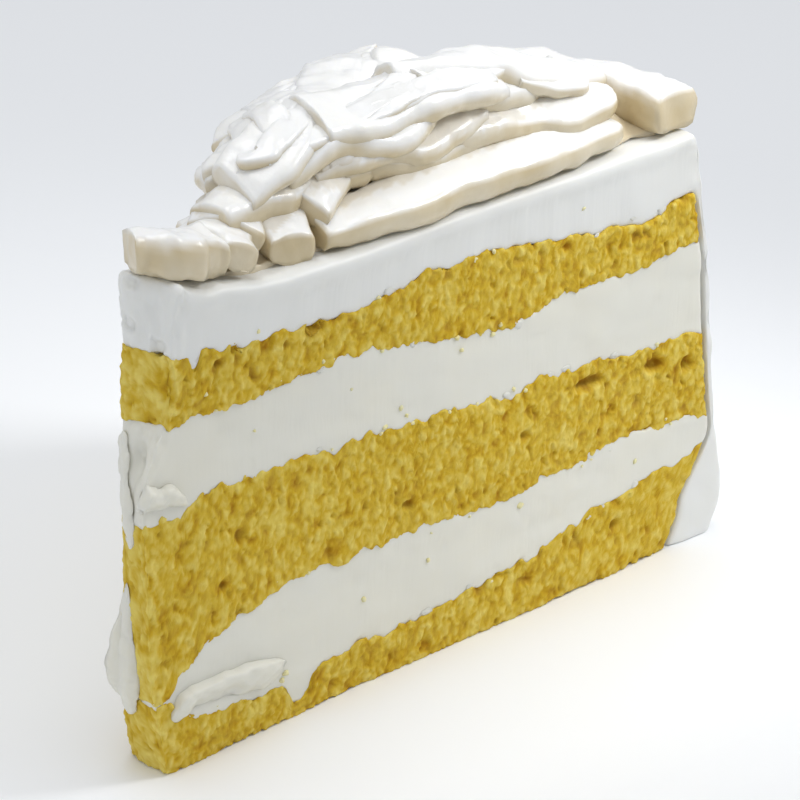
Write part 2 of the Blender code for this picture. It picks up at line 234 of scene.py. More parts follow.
@dataclass(frozen=True)
class SliceForm:
    """The wedge, its sizes and the smooth surfaces that its layers share.

    The curves of the rim, the tip and the levels are in millimetres.
    """

    wedge: float = math.radians(31)
    body_height: float = 66 * MM
    rim_radius: float = 115 * MM
    apex_x: float = -66.8 * MM
    rim_gap: float = 0.6 * MM
    coat_thickness: float = 0.9 * MM
    foot_thickness: float = 8.2 * MM
    foot_top: float = 18 * MM
    foot_bottom: float = 6 * MM
    rim_heights: tuple = (0, 4, 9, 14, 22, 36, 50, 60, 66)
    rim_flare: tuple = (6.0, 8.2, 8.7, 7.9, 6.5, 4.7, 2.9, 0.8, 0.0)
    tip_heights: tuple = (0, 12, 30, 45, 50, 57, 66)
    tip_seen_face: tuple = (12.4, 10.6, 10.8, 12.0, 15.0, 15.7, 17.0)
    tip_back_face: tuple = (12.5, 11.0, 12.0, 12.5, 13.0, 14.0, 15.0)
    tip_rounding: float = 2.5 * MM
    nose_depth: float = 0.5 * MM
    nose_fade: float = 2.5 * MM
    stations: tuple = (10, 15, 22, 30, 45, 60, 75, 90, 105, 120)
    level_wave: float = 0.8 * MM
    level_lengths: tuple[float, float] = (13 * MM, 29 * MM)
    face_wave: float = 0.5 * MM
    face_lengths: tuple[float, float] = (11 * MM, 23 * MM)
    face_slants: tuple[float, float] = (17 * MM, 9 * MM)
    levels: dict = field(default_factory=lambda: {
        Edge.BASE: (0.0,) * 10,
        Edge.LOWER_SPONGE: (10.4, 8.5, 7.0, 5.9, 6.6, 6.8, 8.8, 10.8, 13.2, 15.1),
        Edge.LOWER_CREAM: (11.8, 14.1, 17.3, 20.1, 21.0, 20.8, 20.0, 20.7, 21.2, 19.3),
        Edge.MIDDLE_SPONGE: (37.0, 37.2, 38.6, 38.7, 38.4, 38.3, 36.6, 36.6, 34.9, 34.9),
        Edge.UPPER_CREAM: (50.4, 49.5, 50.3, 49.4, 50.6, 49.1, 46.5, 48.0, 48.3, 49.6),
        Edge.UPPER_SPONGE: (60.6, 59.9, 59.0, 58.3, 57.3, 58.8, 58.8, 56.8, 55.6, 58.0),
        Edge.FROSTING: (70.6, 70.6, 68.0, 66.2, 65.6, 65.8, 66.0, 66.2, 66.8, 66.5),
    })

    def rim(self, z: np.ndarray) -> np.ndarray:
        """The outside of the frosting on the rim, from the apex."""
        return self.rim_radius + curve(self.rim_heights, self.rim_flare, z / MM) * MM

    def coat(self, z: np.ndarray) -> np.ndarray:
        """The thickness of the frosting on the rim."""
        share = ease((self.foot_top - z) / (self.foot_top - self.foot_bottom))
        return self.coat_thickness + self.foot_thickness * share

    def tip(self, across: np.ndarray, z: np.ndarray) -> np.ndarray:
        """Gives how far the blunt tip is from the apex.

        Args:
            across: place between the seen face (0) and the back face (1).
            z: height.

        Returns:
            The distance for each place.
        """
        seen = curve(self.tip_heights, self.tip_seen_face, z / MM)
        back = curve(self.tip_heights, self.tip_back_face, z / MM)
        return (seen + (back - seen) * across) * MM + self.tip_rounding * across ** 5

    def level(self, edge: Edge, radius: np.ndarray, across: np.ndarray) -> np.ndarray:
        """Gives the height of an edge between layers, which waves a little behind the seen face.

        Args:
            edge: which edge.
            radius: distance from the apex.
            across: place between the seen face (0) and the back face (1).

        Returns:
            The height at each place.
        """
        height = curve(self.stations, self.levels[edge], radius / MM) * MM
        if edge is Edge.BASE:
            return height
        phase = 1.7 * edge.value
        short, long = self.level_lengths
        wave = np.sin(radius / short + phase) + np.sin(radius / long - phase + 4 * across)
        return height + self.level_wave * across * wave / 2

    def push(self, radius: np.ndarray, across: np.ndarray, z: np.ndarray) -> np.ndarray:
        """Gives how far the cut faces stand out, as the knife left them.

        Args:
            radius: distance from the apex.
            across: place between the seen face (0) and the back face (1).
            z: height.

        Returns:
            The distance at each place.
        """
        short, long = self.face_lengths
        steep, flat = self.face_slants
        wave = np.sin(radius / short + z / steep) + np.sin(radius / long - z / flat + 2)
        return self.face_wave * wave / 2 * (1 - 2 * across) ** 2

    def place(self, radius: np.ndarray, across: np.ndarray, z: np.ndarray,
              proud: np.ndarray | float = 0.0) -> Points:
        """Puts points of the slice into world coordinates.

        Args:
            radius: distance from the apex.
            across: place between the seen face (0) and the back face (1).
            z: height.
            proud: how much further the cut faces stand out there.

        Returns:
            One row of three coordinates for each point.
        """
        angle = (across - 0.5) * self.wedge
        push = self.push(radius, across, z) + proud
        side = np.where(across < 0.5, -1, 1)
        x = self.apex_x + radius * np.cos(angle) - push * math.sin(self.wedge / 2)
        y = radius * np.sin(angle) + side * push * math.cos(self.wedge / 2)
        return np.stack((x, y, z + 0 * x), axis=-1)

    def spot(self, radius: float, across: float, z: float, proud: float = 0.0) -> Points:
        """Puts one point of the slice into world coordinates."""
        return self.place(np.float64(radius), np.float64(across), np.float64(z), proud)

    def from_face(self, along: float, into: float) -> Points:
        """Turns a place on the seen face, or behind it, into a plan point.

        Args:
            along: how far along the face from the apex.
            into: how far behind the face.

        Returns:
            The point's X and Y.
        """
        half = self.wedge / 2
        x = self.apex_x + along * math.cos(half) + into * math.sin(half)
        y = -along * math.sin(half) + into * math.cos(half)
        return np.stack((x, y), axis=-1)

    def to_face(self, points: Points) -> tuple[np.ndarray, np.ndarray]:
        """Measures points against the seen face.

        Args:
            points: world coordinates.

        Returns:
            How far along the face from the apex each point is, and how far behind the face.
        """
        half = self.wedge / 2
        x = points[:, 0] - self.apex_x
        y = points[:, 1]
        return x * math.cos(half) - y * math.sin(half), x * math.sin(half) + y * math.cos(half)

    def polar(self, x: np.ndarray, y: np.ndarray) -> tuple[np.ndarray, np.ndarray]:
        """Gives plan points' distance from the apex and their place across the slice."""
        return np.hypot(x - self.apex_x, y), np.arctan2(y, x - self.apex_x) / self.wedge + 0.5

    def near_nose(self, places: Points) -> np.ndarray:
        """Tells how near places are to the blunt tip.

        Args:
            places: world coordinates.

        Returns:
            1 on the tip, and down to 0 a few millimetres behind it.
        """
        radius, across = self.polar(places[:, 0], places[:, 1])
        behind = radius - self.tip(np.clip(across, 0, 1), places[:, 2])
        return 1 - ease((behind - self.nose_depth) / self.nose_fade)

    def inside(self, x: np.ndarray, y: np.ndarray) -> np.ndarray:
        """Gives how far inside the edge of the slice's top plan points lie.

        Args:
            x: the points' places along X.
            y: the points' places along Y.

        Returns:
            The distance to the nearest edge, below zero outside it.
        """
        radius, across = self.polar(x, y)
        seen = radius * np.sin(across * self.wedge)
        back = radius * np.sin((1 - across) * self.wedge)
        tip = (radius - self.tip(np.clip(across, 0, 1), np.float64(self.body_height))) * 0.9
        return np.minimum(np.minimum(seen, back), np.minimum(tip, self.rim_radius - radius))

    def frosting_top(self, x: np.ndarray, y: np.ndarray) -> np.ndarray:
        """The height of the frosting at plan points."""
        radius, across = self.polar(x, y)
        return self.level(Edge.FROSTING, radius, np.clip(across, 0, 1))


def mesh_of(bm: bmesh.types.BMesh, name: str) -> bpy.types.Mesh:
    """Turns what was modelled into a mesh, and lets go of it.

    Args:
        bm: what was modelled.
        name: the mesh's name.

    Returns:
        The mesh.
    """
    mesh = bpy.data.meshes.new(name)
    bm.to_mesh(mesh)
    bm.free()
    return mesh


def grid_block(cuts: Cuts, name: str) -> bpy.types.Mesh:
    """Makes a cube from 0 to 1 whose sides are grids, welded along their edges.

    Args:
        cuts: the number of cells along X, Y and Z.
        name: the mesh's name.

    Returns:
        The block.
    """
    bm = bmesh.new()
    for axis in range(3):
        first = (axis + 1) % 3
        second = (axis + 2) % 3
        turn = Matrix.Identity(4)
        for column, target in enumerate((first, second, axis)):
            turn.col[column] = Vector([1.0 if row == target else 0.0 for row in range(4)])
        for side in (-0.5, 0.5):
            middle = Vector((0.5, 0.5, 0.5))
            middle[axis] += side
            bmesh.ops.create_grid(bm, x_segments=cuts[first], y_segments=cuts[second], size=0.5,
                                  matrix=Matrix.Translation(middle) @ turn)
    bmesh.ops.remove_doubles(bm, verts=bm.verts, dist=1e-5)
    bmesh.ops.recalc_face_normals(bm, faces=bm.faces)
    return mesh_of(bm, name)


def read_vertices(mesh: bpy.types.Mesh, what: str = "co") -> Points:
    """Reads a mesh's vertices.

    Args:
        mesh: what to read.
        what: "co" for their places, or "normal" for the directions in which they face.

    Returns:
        One row of three numbers for each vertex.
    """
    flat = np.zeros(len(mesh.vertices) * 3)
    mesh.vertices.foreach_get(what, flat)
    return flat.reshape(-1, 3)


def move_vertices(mesh: bpy.types.Mesh, places: Points) -> None:
    """Puts a mesh's vertices at new places."""
    mesh.vertices.foreach_set("co", places.ravel())
    mesh.update()


def raise_surface(mesh: bpy.types.Mesh, height: np.ndarray, floor: float = -math.inf) -> None:
    """Moves a mesh's vertices outwards.

    Args:
        mesh: what to move.
        height: how far each vertex moves, the way it faces.
        floor: the height that none of them goes below.
    """
    places = read_vertices(mesh) + read_vertices(mesh, "normal") * height[:, None]
    places[:, 2] = np.maximum(places[:, 2], floor)
    move_vertices(mesh, places)


def set_values(mesh: bpy.types.Mesh, name: str, values: np.ndarray) -> None:
    """Keeps one number for each vertex, which the material reads by its name."""
    layer = mesh.attributes.new(name, "FLOAT", "POINT")
    layer.data.foreach_set("value", values.astype(np.float32))


def soften(mesh: bpy.types.Mesh, chosen: np.ndarray, turns: int) -> None:
    """Rounds off some of a mesh's vertices.

    Args:
        mesh: what to round.
        chosen: true for each vertex that may move.
        turns: how often each moves halfway towards its neighbours.
    """
    bm = bmesh.new()
    bm.from_mesh(mesh)
    verts = [vert for vert, is_chosen in zip(bm.verts, chosen) if is_chosen]
    for _ in range(turns):
        bmesh.ops.smooth_vert(bm, verts=verts, factor=0.5,
                              use_axis_x=True, use_axis_y=True, use_axis_z=True)
    bm.to_mesh(mesh)
    bm.free()


def new_piece(name: str, mesh: bpy.types.Mesh, material: bpy.types.Material) -> bpy.types.Object:
    """Makes a piece of a mesh, dresses it and lets it ride on the slice's body.

    Args:
        name: the piece's name.
        mesh: its shape.
        material: its finish.

    Returns:
        The piece.
    """
    mesh.materials.clear()
    mesh.materials.append(material)
    mesh.shade_smooth()
    piece = bpy.data.objects.new(name, mesh)
    bpy.context.scene.collection.objects.link(piece)
    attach(piece, BODY)
    return piece


def report(piece: bpy.types.Object) -> None:
    """Says what was built."""
    log.info("%s: %d faces", piece.name, len(piece.data.polygons))


def add_node(tree: bpy.types.NodeTree, kind: str, inputs: dict | None = None,
             **settings: object) -> bpy.types.Node:
    """Adds a shader node.

    Args:
        tree: where to add it.
        kind: the node's type.
        inputs: by the socket's name or number, a value, or an output to link from.
        settings: the node's own properties.

    Returns:
        The node.
    """
    node = tree.nodes.new(kind)
    for name, value in settings.items():
        setattr(node, name, value)
    for name, value in (inputs or {}).items():
        if isinstance(value, bpy.types.NodeSocket):
            tree.links.new(value, node.inputs[name])
        else:
            node.inputs[name].default_value = value
    return node


def add_noise(tree: bpy.types.NodeTree, per_metre: float, detail: float) -> bpy.types.NodeSocket:
    """Adds noise in the object's own coordinates.

    Args:
        tree: where to add it.
        per_metre: its lumps on a metre.
        detail: how many finer sizes of lumps it has.

    Returns:
        The noise's value.
    """
    place = add_node(tree, "ShaderNodeTexCoord")
    noise = add_node(tree, "ShaderNodeTexNoise", {
        "Vector": place.outputs["Object"], "Scale": per_metre, "Detail": detail})
    return noise.outputs["Fac"]


def add_bump(tree: bpy.types.NodeTree, height: bpy.types.NodeSocket, strength: float, depth: float,
             **below: bpy.types.NodeSocket) -> bpy.types.NodeSocket:
    """Adds a bump.

    Args:
        tree: where to add it.
        height: the pattern that stands out.
        strength: how much of it shows.
        depth: how far it stands out.
        below: the Normal that it is laid on, where there is one.

    Returns:
        The surface's direction.
    """
    bump = add_node(tree, "ShaderNodeBump", {
        "Height": height, "Strength": strength, "Distance": depth, **below})
    return bump.outputs["Normal"]


def new_material(name: str) -> tuple[bpy.types.Material, bpy.types.NodeTree, bpy.types.Node]:
    """Makes a material.

    Args:
        name: its name.

    Returns:
        The material, its node tree and its main shader.
    """
    material = bpy.data.materials.new(name)
    material.use_nodes = True
    return material, material.node_tree, material.node_tree.nodes["Principled BSDF"]


def opaque(colour: Colour) -> tuple[float, float, float, float]:
    """The colour with its alpha."""
    return (*colour, 1.0)


# The patches come up between these two values of their noise.
CLOUD_RANGE = (0.38, 0.66)


def mottle_group() -> bpy.types.NodeTree:
    """Makes the uneven mix of two colours by noise in the object's own coordinates, once.

    Returns:
        The node group.
    """
    if "mottle" in bpy.data.node_groups:
        return bpy.data.node_groups["mottle"]
    group = bpy.data.node_groups.new("mottle", "ShaderNodeTree")
    for name, kind in (("Base", "NodeSocketColor"), ("Patch", "NodeSocketColor"),
                       ("Patches per metre", "NodeSocketFloat"), ("Amount", "NodeSocketFloat")):
        group.interface.new_socket(name, in_out="INPUT", socket_type=kind)
    group.interface.new_socket("Colour", in_out="OUTPUT", socket_type="NodeSocketColor")
    source = add_node(group, "NodeGroupInput")
    place = add_node(group, "ShaderNodeTexCoord")
    cloud = add_node(group, "ShaderNodeTexNoise", {
        "Vector": place.outputs["Object"], "Scale": source.outputs["Patches per metre"], "Detail": 3.0})
    spread = add_node(group, "ShaderNodeMapRange", {
        "Value": cloud.outputs["Fac"], "From Min": CLOUD_RANGE[0], "From Max": CLOUD_RANGE[1],
        "To Min": 0.0, "To Max": source.outputs["Amount"]})
    mixed = add_node(group, "ShaderNodeMix", {
        0: spread.outputs["Result"], 6: source.outputs["Base"], 7: source.outputs["Patch"]},
        data_type="RGBA")
    add_node(group, "NodeGroupOutput", {"Colour": mixed.outputs[2]})
    return group


def add_mottle(tree: bpy.types.NodeTree, base: bpy.types.NodeSocket | Colour, patch: Colour,
               per_metre: float, amount: float) -> bpy.types.NodeSocket:
    """Places the mottle group.

    Args:
        tree: where to place it.
        base: the main colour, or an output that gives it.
        patch: the colour of the patches.
        per_metre: the patches on a metre.
        amount: how strong they are at most.

    Returns:
        The mottled colour.
    """
    node = tree.nodes.new("ShaderNodeGroup")
    node.node_tree = mottle_group()
    if isinstance(base, bpy.types.NodeSocket):
        tree.links.new(base, node.inputs["Base"])
    else:
        node.inputs["Base"].default_value = opaque(base)
    node.inputs["Patch"].default_value = opaque(patch)
    node.inputs["Patches per metre"].default_value = per_metre
    node.inputs["Amount"].default_value = amount
    return node.outputs["Colour"]


class Finish:
    """What the finishes share: patches of a second colour, and light that goes into the surface."""

    def dress(self, tree: bpy.types.NodeTree, shader: bpy.types.Node,
              base: bpy.types.NodeSocket | Colour, normal: bpy.types.NodeSocket) -> None:
        """Mottles the colour and sets how the surface takes the light.

        Args:
            tree: the material's node tree.
            shader: its main shader.
            base: the main colour, or an output that gives it.
            normal: the surface's direction with its bumps.
        """
        colour = add_mottle(tree, base, self.patch, self.patches_per_metre, self.patch_amount)
        tree.links.new(colour, shader.inputs["Base Color"])
        tree.links.new(normal, shader.inputs["Normal"])
        shader.inputs["Roughness"].default_value = self.roughness
        shader.inputs["Subsurface Weight"].default_value = self.glow
        shader.inputs["Subsurface Radius"].default_value = self.glow_colours
        shader.inputs["Subsurface Scale"].default_value = self.glow_depth


@dataclass(frozen=True)
class SpongeFinish(Finish):
    """Open yellow crumb: painted light makes it pale on the lumps, and painted shade makes it ochre in the
    pits.
    """

    # pit is painted shade for the pits and lump painted light for the lumps; body is the crumb's own yellow.
    pit: Colour = (0.34, 0.15, 0.002)
    body: Colour = (0.59, 0.385, 0.021)
    lump: Colour = (0.765, 0.62, 0.155)
    patch: Colour = (0.665, 0.51, 0.08)
    patches_per_metre: float = 420.0
    patch_amount: float = 0.35
    grains_per_metre: float = 2600.0
    grain_depth: float = 0.25 * MM
    roughness: float = 0.9
    shine: float = 0.2
    glow: float = 0.12
    glow_colours: Colour = (1.0, 0.7, 0.12)
    glow_depth: float = 0.9 * MM

    def material(self, name: str) -> bpy.types.Material:
        """Builds the material, which reads from the mesh the crumb's height, its tone and its painted light
        and shade.

        Args:
            name: the material's name.

        Returns:
            The material.
        """
        material, tree, shader = new_material(name)
        height = add_node(tree, "ShaderNodeAttribute", attribute_name="crumb_tone_and_shade")
        ramp = add_node(tree, "ShaderNodeValToRGB", {"Fac": height.outputs["Fac"]})
        ramp.color_ramp.elements[0].color = opaque(self.pit)
        ramp.color_ramp.elements[1].color = opaque(self.lump)
        middle = ramp.color_ramp.elements.new(0.5)
        middle.color = opaque(self.body)
        grain = add_noise(tree, self.grains_per_metre, 3.0)
        self.dress(tree, shader, ramp.outputs["Color"], add_bump(tree, grain, 0.5, self.grain_depth))
        shader.inputs["Specular IOR Level"].default_value = self.shine
        return material


@dataclass(frozen=True)
class CreamFinish(Finish):
    """Whipped cream: smooth, faintly streaked, softly glossy."""

    # The filling's colour is darker and warmer than the frosting's: painted shade of the cut faces and
    # painted yellow light bounced from the sponge.
    body: Colour = (0.745, 0.735, 0.66)
    patch: Colour = (0.76, 0.74, 0.64)
    patches_per_metre: float = 90.0
    patch_amount: float = 0.6
    streak_slant: float = math.radians(28)
    streaks_per_metre: Place = (900.0, 120.0, 90.0)
    streak_depth: float = 0.12 * MM
    roughness: float = 0.42
    glow: float = 0.3
    glow_colours: Colour = (1.0, 0.95, 0.8)
    glow_depth: float = 2.0 * MM

    def material(self, name: str) -> bpy.types.Material:
        """Builds the material, with streaks that run down the cut faces at a slant.

        Args:
            name: the material's name.

        Returns:
            The material.
        """
        material, tree, shader = new_material(name)
        place = add_node(tree, "ShaderNodeTexCoord")
        slant = add_node(tree, "ShaderNodeMapping", {
            "Vector": place.outputs["Object"], "Rotation": (0.0, self.streak_slant, 0.0),
            "Scale": self.streaks_per_metre})
        streak = add_node(tree, "ShaderNodeTexNoise", {
            "Vector": slant.outputs["Vector"], "Scale": 1.0, "Detail": 4.0, "Roughness": 0.6})
        streaked = add_bump(tree, streak.outputs["Fac"], 0.35, self.streak_depth)
        self.dress(tree, shader, self.body, streaked)
        return material


@dataclass(frozen=True)
class CoconutFinish(Finish):
    """Young coconut flesh in cream: white, translucent and wet, with beige painted shade."""

    # The first colour is the flesh darkened to painted shade, for the sides, the low strips and the hollows;
    # the second is the white of the lit cream.
    shaded_flesh: Colour = (0.62, 0.51, 0.31)
    creamed: Colour = (0.90, 0.90, 0.89)
    patch: Colour = (0.89, 0.87, 0.79)
    patches_per_metre: float = 110.0
    patch_amount: float = 0.3
    drops_per_metre: float = 1500.0
    drop_depth: float = 0.15 * MM
    fibres_per_metre: float = 420.0
    fibre_depth: float = 0.3 * MM
    roughness: float = 0.3
    wetness: float = 0.35
    wet_roughness: float = 0.2
    glow: float = 0.12
    glow_colours: Colour = (1.0, 0.88, 0.62)
    glow_depth: float = 1.5 * MM

    def material(self, name: str) -> bpy.types.Material:
        """Builds the material, which reads from the mesh where cream covers the flesh and where shade is
        painted beige.

        Args:
            name: the material's name.

        Returns:
            The material.
        """
        material, tree, shader = new_material(name)
        cream_cover_and_shade = add_node(tree, "ShaderNodeAttribute", attribute_name="cream_cover_and_shade")
        base = add_node(tree, "ShaderNodeMix", {
            0: cream_cover_and_shade.outputs["Fac"], 6: opaque(self.shaded_flesh), 7: opaque(self.creamed)}, data_type="RGBA")
        fibres = add_noise(tree, self.fibres_per_metre, 3.0)
        drops = add_noise(tree, self.drops_per_metre, 1.0)
        wet = add_bump(tree, drops, 0.25, self.drop_depth)
        self.dress(tree, shader, base.outputs[2],
                   add_bump(tree, fibres, 0.35, self.fibre_depth, Normal=wet))
        shader.inputs["Coat Weight"].default_value = self.wetness
        shader.inputs["Coat Roughness"].default_value = self.wet_roughness
        return material


@dataclass(frozen=True)
class Pit:
    """A hole in the crumb on the seen face: its place, half sizes and depth, in millimetres."""

    along: float
    height: float
    half_width: float
    half_height: float
    depth: float


PITS = (
    Pit(93.6, 33.0, 3.2, 1.1, 1.6),
    Pit(40.5, 57.0, 1.6, 1.2, 1.2),
    Pit(108.0, 31.7, 2.2, 1.3, 1.4),
    Pit(115.0, 29.9, 1.4, 1.4, 1.2),
    Pit(68.9, 60.2, 0.9, 0.9, 0.9),
    Pit(57.0, 25.5, 1.2, 0.9, 1.0),
    Pit(27.0, 30.5, 1.1, 1.2, 1.0),
    Pit(80.0, 29.0, 1.0, 0.9, 0.9),
    Pit(100.0, 8.0, 1.3, 1.0, 1.0),
    Pit(15.8, 55.5, 0.7, 3.0, 0.7),
    Pit(27.9, 58.0, 1.3, 0.8, 0.8),
    Pit(24.2, 56.4, 0.8, 0.7, 0.7),
    Pit(116.3, 57.6, 0.8, 1.6, 0.5),
    Pit(20.5, 16.0, 0.9, 0.8, 0.8),
    Pit(23.5, 24.5, 0.9, 0.9, 0.8),
)


@dataclass(frozen=True)
class Dip:
    """Where cream is pressed into the sponge under it at the seen face, in millimetres."""

    edge: Edge
    along: float
    half_width: float
    depth: float


DIPS = (
    Dip(Edge.LOWER_SPONGE, 36.6, 2.3, 4.2),
    Dip(Edge.UPPER_SPONGE, 19.9, 0.9, 2.2),
    Dip(Edge.UPPER_SPONGE, 13.6, 0.9, 1.5),
    Dip(Edge.MIDDLE_SPONGE, 60.0, 1.0, 0.9),
    Dip(Edge.LOWER_SPONGE, 82.0, 1.3, 1.2),
    Dip(Edge.FROSTING, 20.5, 3.6, 0.9),
)


@dataclass
class Layer:
    """One layer of the slice, between two of its edges.

    Its block crowds its cells towards the cut faces. Near its sharp edges it is rounded.
    """

    form: SliceForm
    name: str
    under: Edge
    over: Edge
    cuts: Cuts
    material: bpy.types.Material
    slot: Slot
    recess: float = 0.0
    overlap: float = 0.0
    rounding: int = 4
    crowding: float = 0.85
    tear_depth: float = 0.75 * MM
    edge_offset: float = 31.0
    frosting_tear: float = 0.12
    dip_reach: float = 3.0 * MM
    closed_radius: float = 15.0 * MM
    closing_length: float = 2.0 * MM
    closed_gap: float = 0.1 * MM
    closed_calm: float = 0.85
    near_across: float = 0.1
    near_up: float = 0.06
    near_along: float = 0.012

    def tear(self, edge: Edge, radius: np.ndarray, across: np.ndarray) -> np.ndarray:
        """Gives how far an edge is torn up or down, the same for both of its layers.

        Args:
            edge: which edge.
            radius: distance from the apex.
            across: place between the seen face (0) and the back face (1).

        Returns:
            What the edge's height changes by at each place.
        """
        if edge is Edge.BASE:
            return 0.0 * radius
        arc = radius * across * self.form.wedge
        points = np.stack((radius / MM, arc / MM, 0 * arc + edge.value * self.edge_offset), axis=1)
        torn = self.tear_depth * sum(weight * texture.at(points) for weight, texture in TEARS)
        if edge is Edge.FROSTING:
            torn = torn * self.frosting_tear
        for dip in DIPS:
            if dip.edge is edge:
                pressed = bell(((radius / MM - dip.along) / dip.half_width) ** 2)
                torn = torn - dip.depth * MM * pressed * (1 - ease(arc / self.dip_reach - 0.3))
        if edge in (Edge.LOWER_SPONGE, Edge.LOWER_CREAM):
            torn = self.close_tip(edge, radius, across, torn)
        return torn

    def close_tip(self, edge: Edge, radius: np.ndarray, across: np.ndarray,
                  torn: np.ndarray) -> np.ndarray:
        """Brings the lower cream's two edges together at the tip, where the sponge has swallowed it.

        Args:
            edge: the lower or the upper edge of that cream.
            radius: distance from the apex.
            across: place between the seen face (0) and the back face (1).
            torn: how far the edge is torn there.

        Returns:
            What the edge's height changes by at each place.
        """
        closed = ease((self.closed_radius - radius) / self.closing_length)
        low, high = (self.form.level(side, radius, across) for side in (Edge.LOWER_SPONGE, Edge.LOWER_CREAM))
        towards = 1 if edge is Edge.LOWER_SPONGE else -1
        met = towards * closed * ((high - low) / 2 - self.closed_gap)
        return torn * (1 - self.closed_calm * closed) + met

    def bend(self, block: Points) -> Points:
        """Bends a unit block into the layer.

        Args:
            block: places in the block, from 0 to 1 along, across and up.

        Returns:
            World coordinates.
        """
        along, across, up = block.T
        across = crowded(across, self.crowding)
        z = np.zeros(len(block))
        for _ in range(4):
            inner = self.form.tip(across, z) + self.recess
            outer = self.form.rim(z) - self.form.coat(z) - self.form.rim_gap
            radius = inner + (outer - inner) * along
            low = self.form.level(self.under, radius, across)
            high = self.form.level(self.over, radius, across)
            z = low + (high - low) * up
        low = low + self.tear(self.under, radius, across) - self.overlap * (self.under is not Edge.BASE)
        high = high + self.tear(self.over, radius, across) + self.overlap
        return self.form.place(radius, across, low + (high - low) * up, -self.recess)

    def near_edges(self, block: Points) -> np.ndarray:
        """Picks the vertices near the block's sharp edges, where two of its sides meet."""
        limits = (self.near_along, self.near_across, self.near_up)
        return (from_ends(block) < limits).sum(axis=1) >= 2

    def relief(self, mesh: bpy.types.Mesh) -> None:
        """Gives the surface its own texture."""
        raise NotImplementedError

    def build(self) -> bpy.types.Object:
        """Makes the layer and lets it stand for its solid.

        Returns:
            The piece.
        """
        mesh = grid_block(self.cuts, self.name + "_baked")
        block = read_vertices(mesh)
        move_vertices(mesh, self.bend(block))
        soften(mesh, self.near_edges(block), self.rounding)
        self.relief(mesh)
        piece = new_piece(self.name + "_baked", mesh, self.material)
        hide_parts(self.name)
        report(piece)
        return piece


@dataclass
class SpongeLayer(Layer):
    """A layer of sponge, whose faces are lumps of crumb with pits between them.

    The lumps, the grains and the spacing of the pits are in millimetres, as the textures are.
    """

    warps: tuple = (Texture(1.2, 2, 20), Texture(1.2, 2, 25), Texture(1.2, 2, 30))
    warp_reach: float = 0.42
    flattening: Place = (1.0, 1.0, 0.75)
    lump: float = 1.05
    lump_height: float = 0.20 * MM
    lump_seed: int = 40
    grain: float = 0.55
    grain_height: float = 0.08 * MM
    grain_seed: int = 45
    ball: float = 0.48
    hollow: Texture = Texture(2.0, 3, 60)
    hollow_depth: float = 0.45 * MM
    hollow_range: tuple[float, float] = (0.35, 0.9)
    streak: Texture = Texture(0.55, 2, 90, (1.0, 1.0, 0.45))
    streak_height: float = 0.08 * MM
    pit_spacing: float = 2.7
    pit_depth: float = 0.5 * MM
    pit_seed: int = 70
    pit_radius: float = 0.24
    pit_slope: float = 0.2
    pit_rarity: float = 0.66
    broad: Texture = Texture(7.0, 2, 80)
    broad_height: float = 0.2 * MM
    tone: Texture = Texture(1.3, 3, 95)
    middle_tone: float = 0.60
    named_pit_reach: float = 1.25
    face_depth: float = 2.0 * MM

    def relief(self, mesh: bpy.types.Mesh) -> None:
        """Breaks the crumb into lumps with hollows and pits, and keeps its height for the colour: painted
        shade in the pits and hollows, painted light on the lumps and on the nose.

        Args:
            mesh: the layer's mesh.
        """
        places = read_vertices(mesh)
        points = places / MM
        warp = np.stack([texture.at(points) for texture in self.warps], axis=1)
        bent = (points + self.warp_reach * warp) * self.flattening
        lumps = 2 * (self.ball - cell_noise(bent / self.lump, self.lump_seed)[0])
        grains = 2 * (self.ball - cell_noise(bent / self.grain, self.grain_seed)[0])
        start, span = self.hollow_range
        hollows = -ease((-start - self.hollow.at(bent)) / span)
        streaks = self.streak.at(points)
        centre, number = cell_noise(bent / self.pit_spacing, self.pit_seed)
        rim = self.pit_radius + 0.08 * streaks
        pits = -ease((rim - centre) / self.pit_slope) * (number > self.pit_rarity)
        named = self.named_pits(places)
        height = (lumps * self.lump_height + grains * self.grain_height + hollows * self.hollow_depth
                  + streaks * self.streak_height + pits * self.pit_depth + named
                  + self.broad.at(points) * self.broad_height)
        # The colour value: painted shade in the pits, hollows and named holes, painted light on the lumps,
        # and painted light on the nose for the glow through the thin tip; the tone noise is the crumb's own
        # colour.
        crumb_tone_and_shade = (self.middle_tone + 0.30 * lumps + 0.16 * grains + 0.12 * streaks + 0.30 * hollows
                 + 0.35 * pits + 0.45 * named / MM + 0.28 * self.tone.at(bent)
                 + 0.2 * self.form.near_nose(places))
        raise_surface(mesh, height, floor=0.0)
        set_values(mesh, "crumb_tone_and_shade", np.clip(crumb_tone_and_shade, 0, 1))

    def named_pits(self, places: Points) -> np.ndarray:
        """Gives the depth that the larger holes add on the seen face.

        Args:
            places: places of the layer.

        Returns:
            The change of the surface at each place.
        """
        along, into = self.form.to_face(places)
        depth = np.zeros(len(places))
        for pit in PITS:
            sideways = (along / MM - pit.along) / pit.half_width
            upwards = (places[:, 2] / MM - pit.height) / pit.half_height
            depth -= pit.depth * MM * ease(self.named_pit_reach - np.hypot(sideways, upwards))
        return depth * (into < self.face_depth)


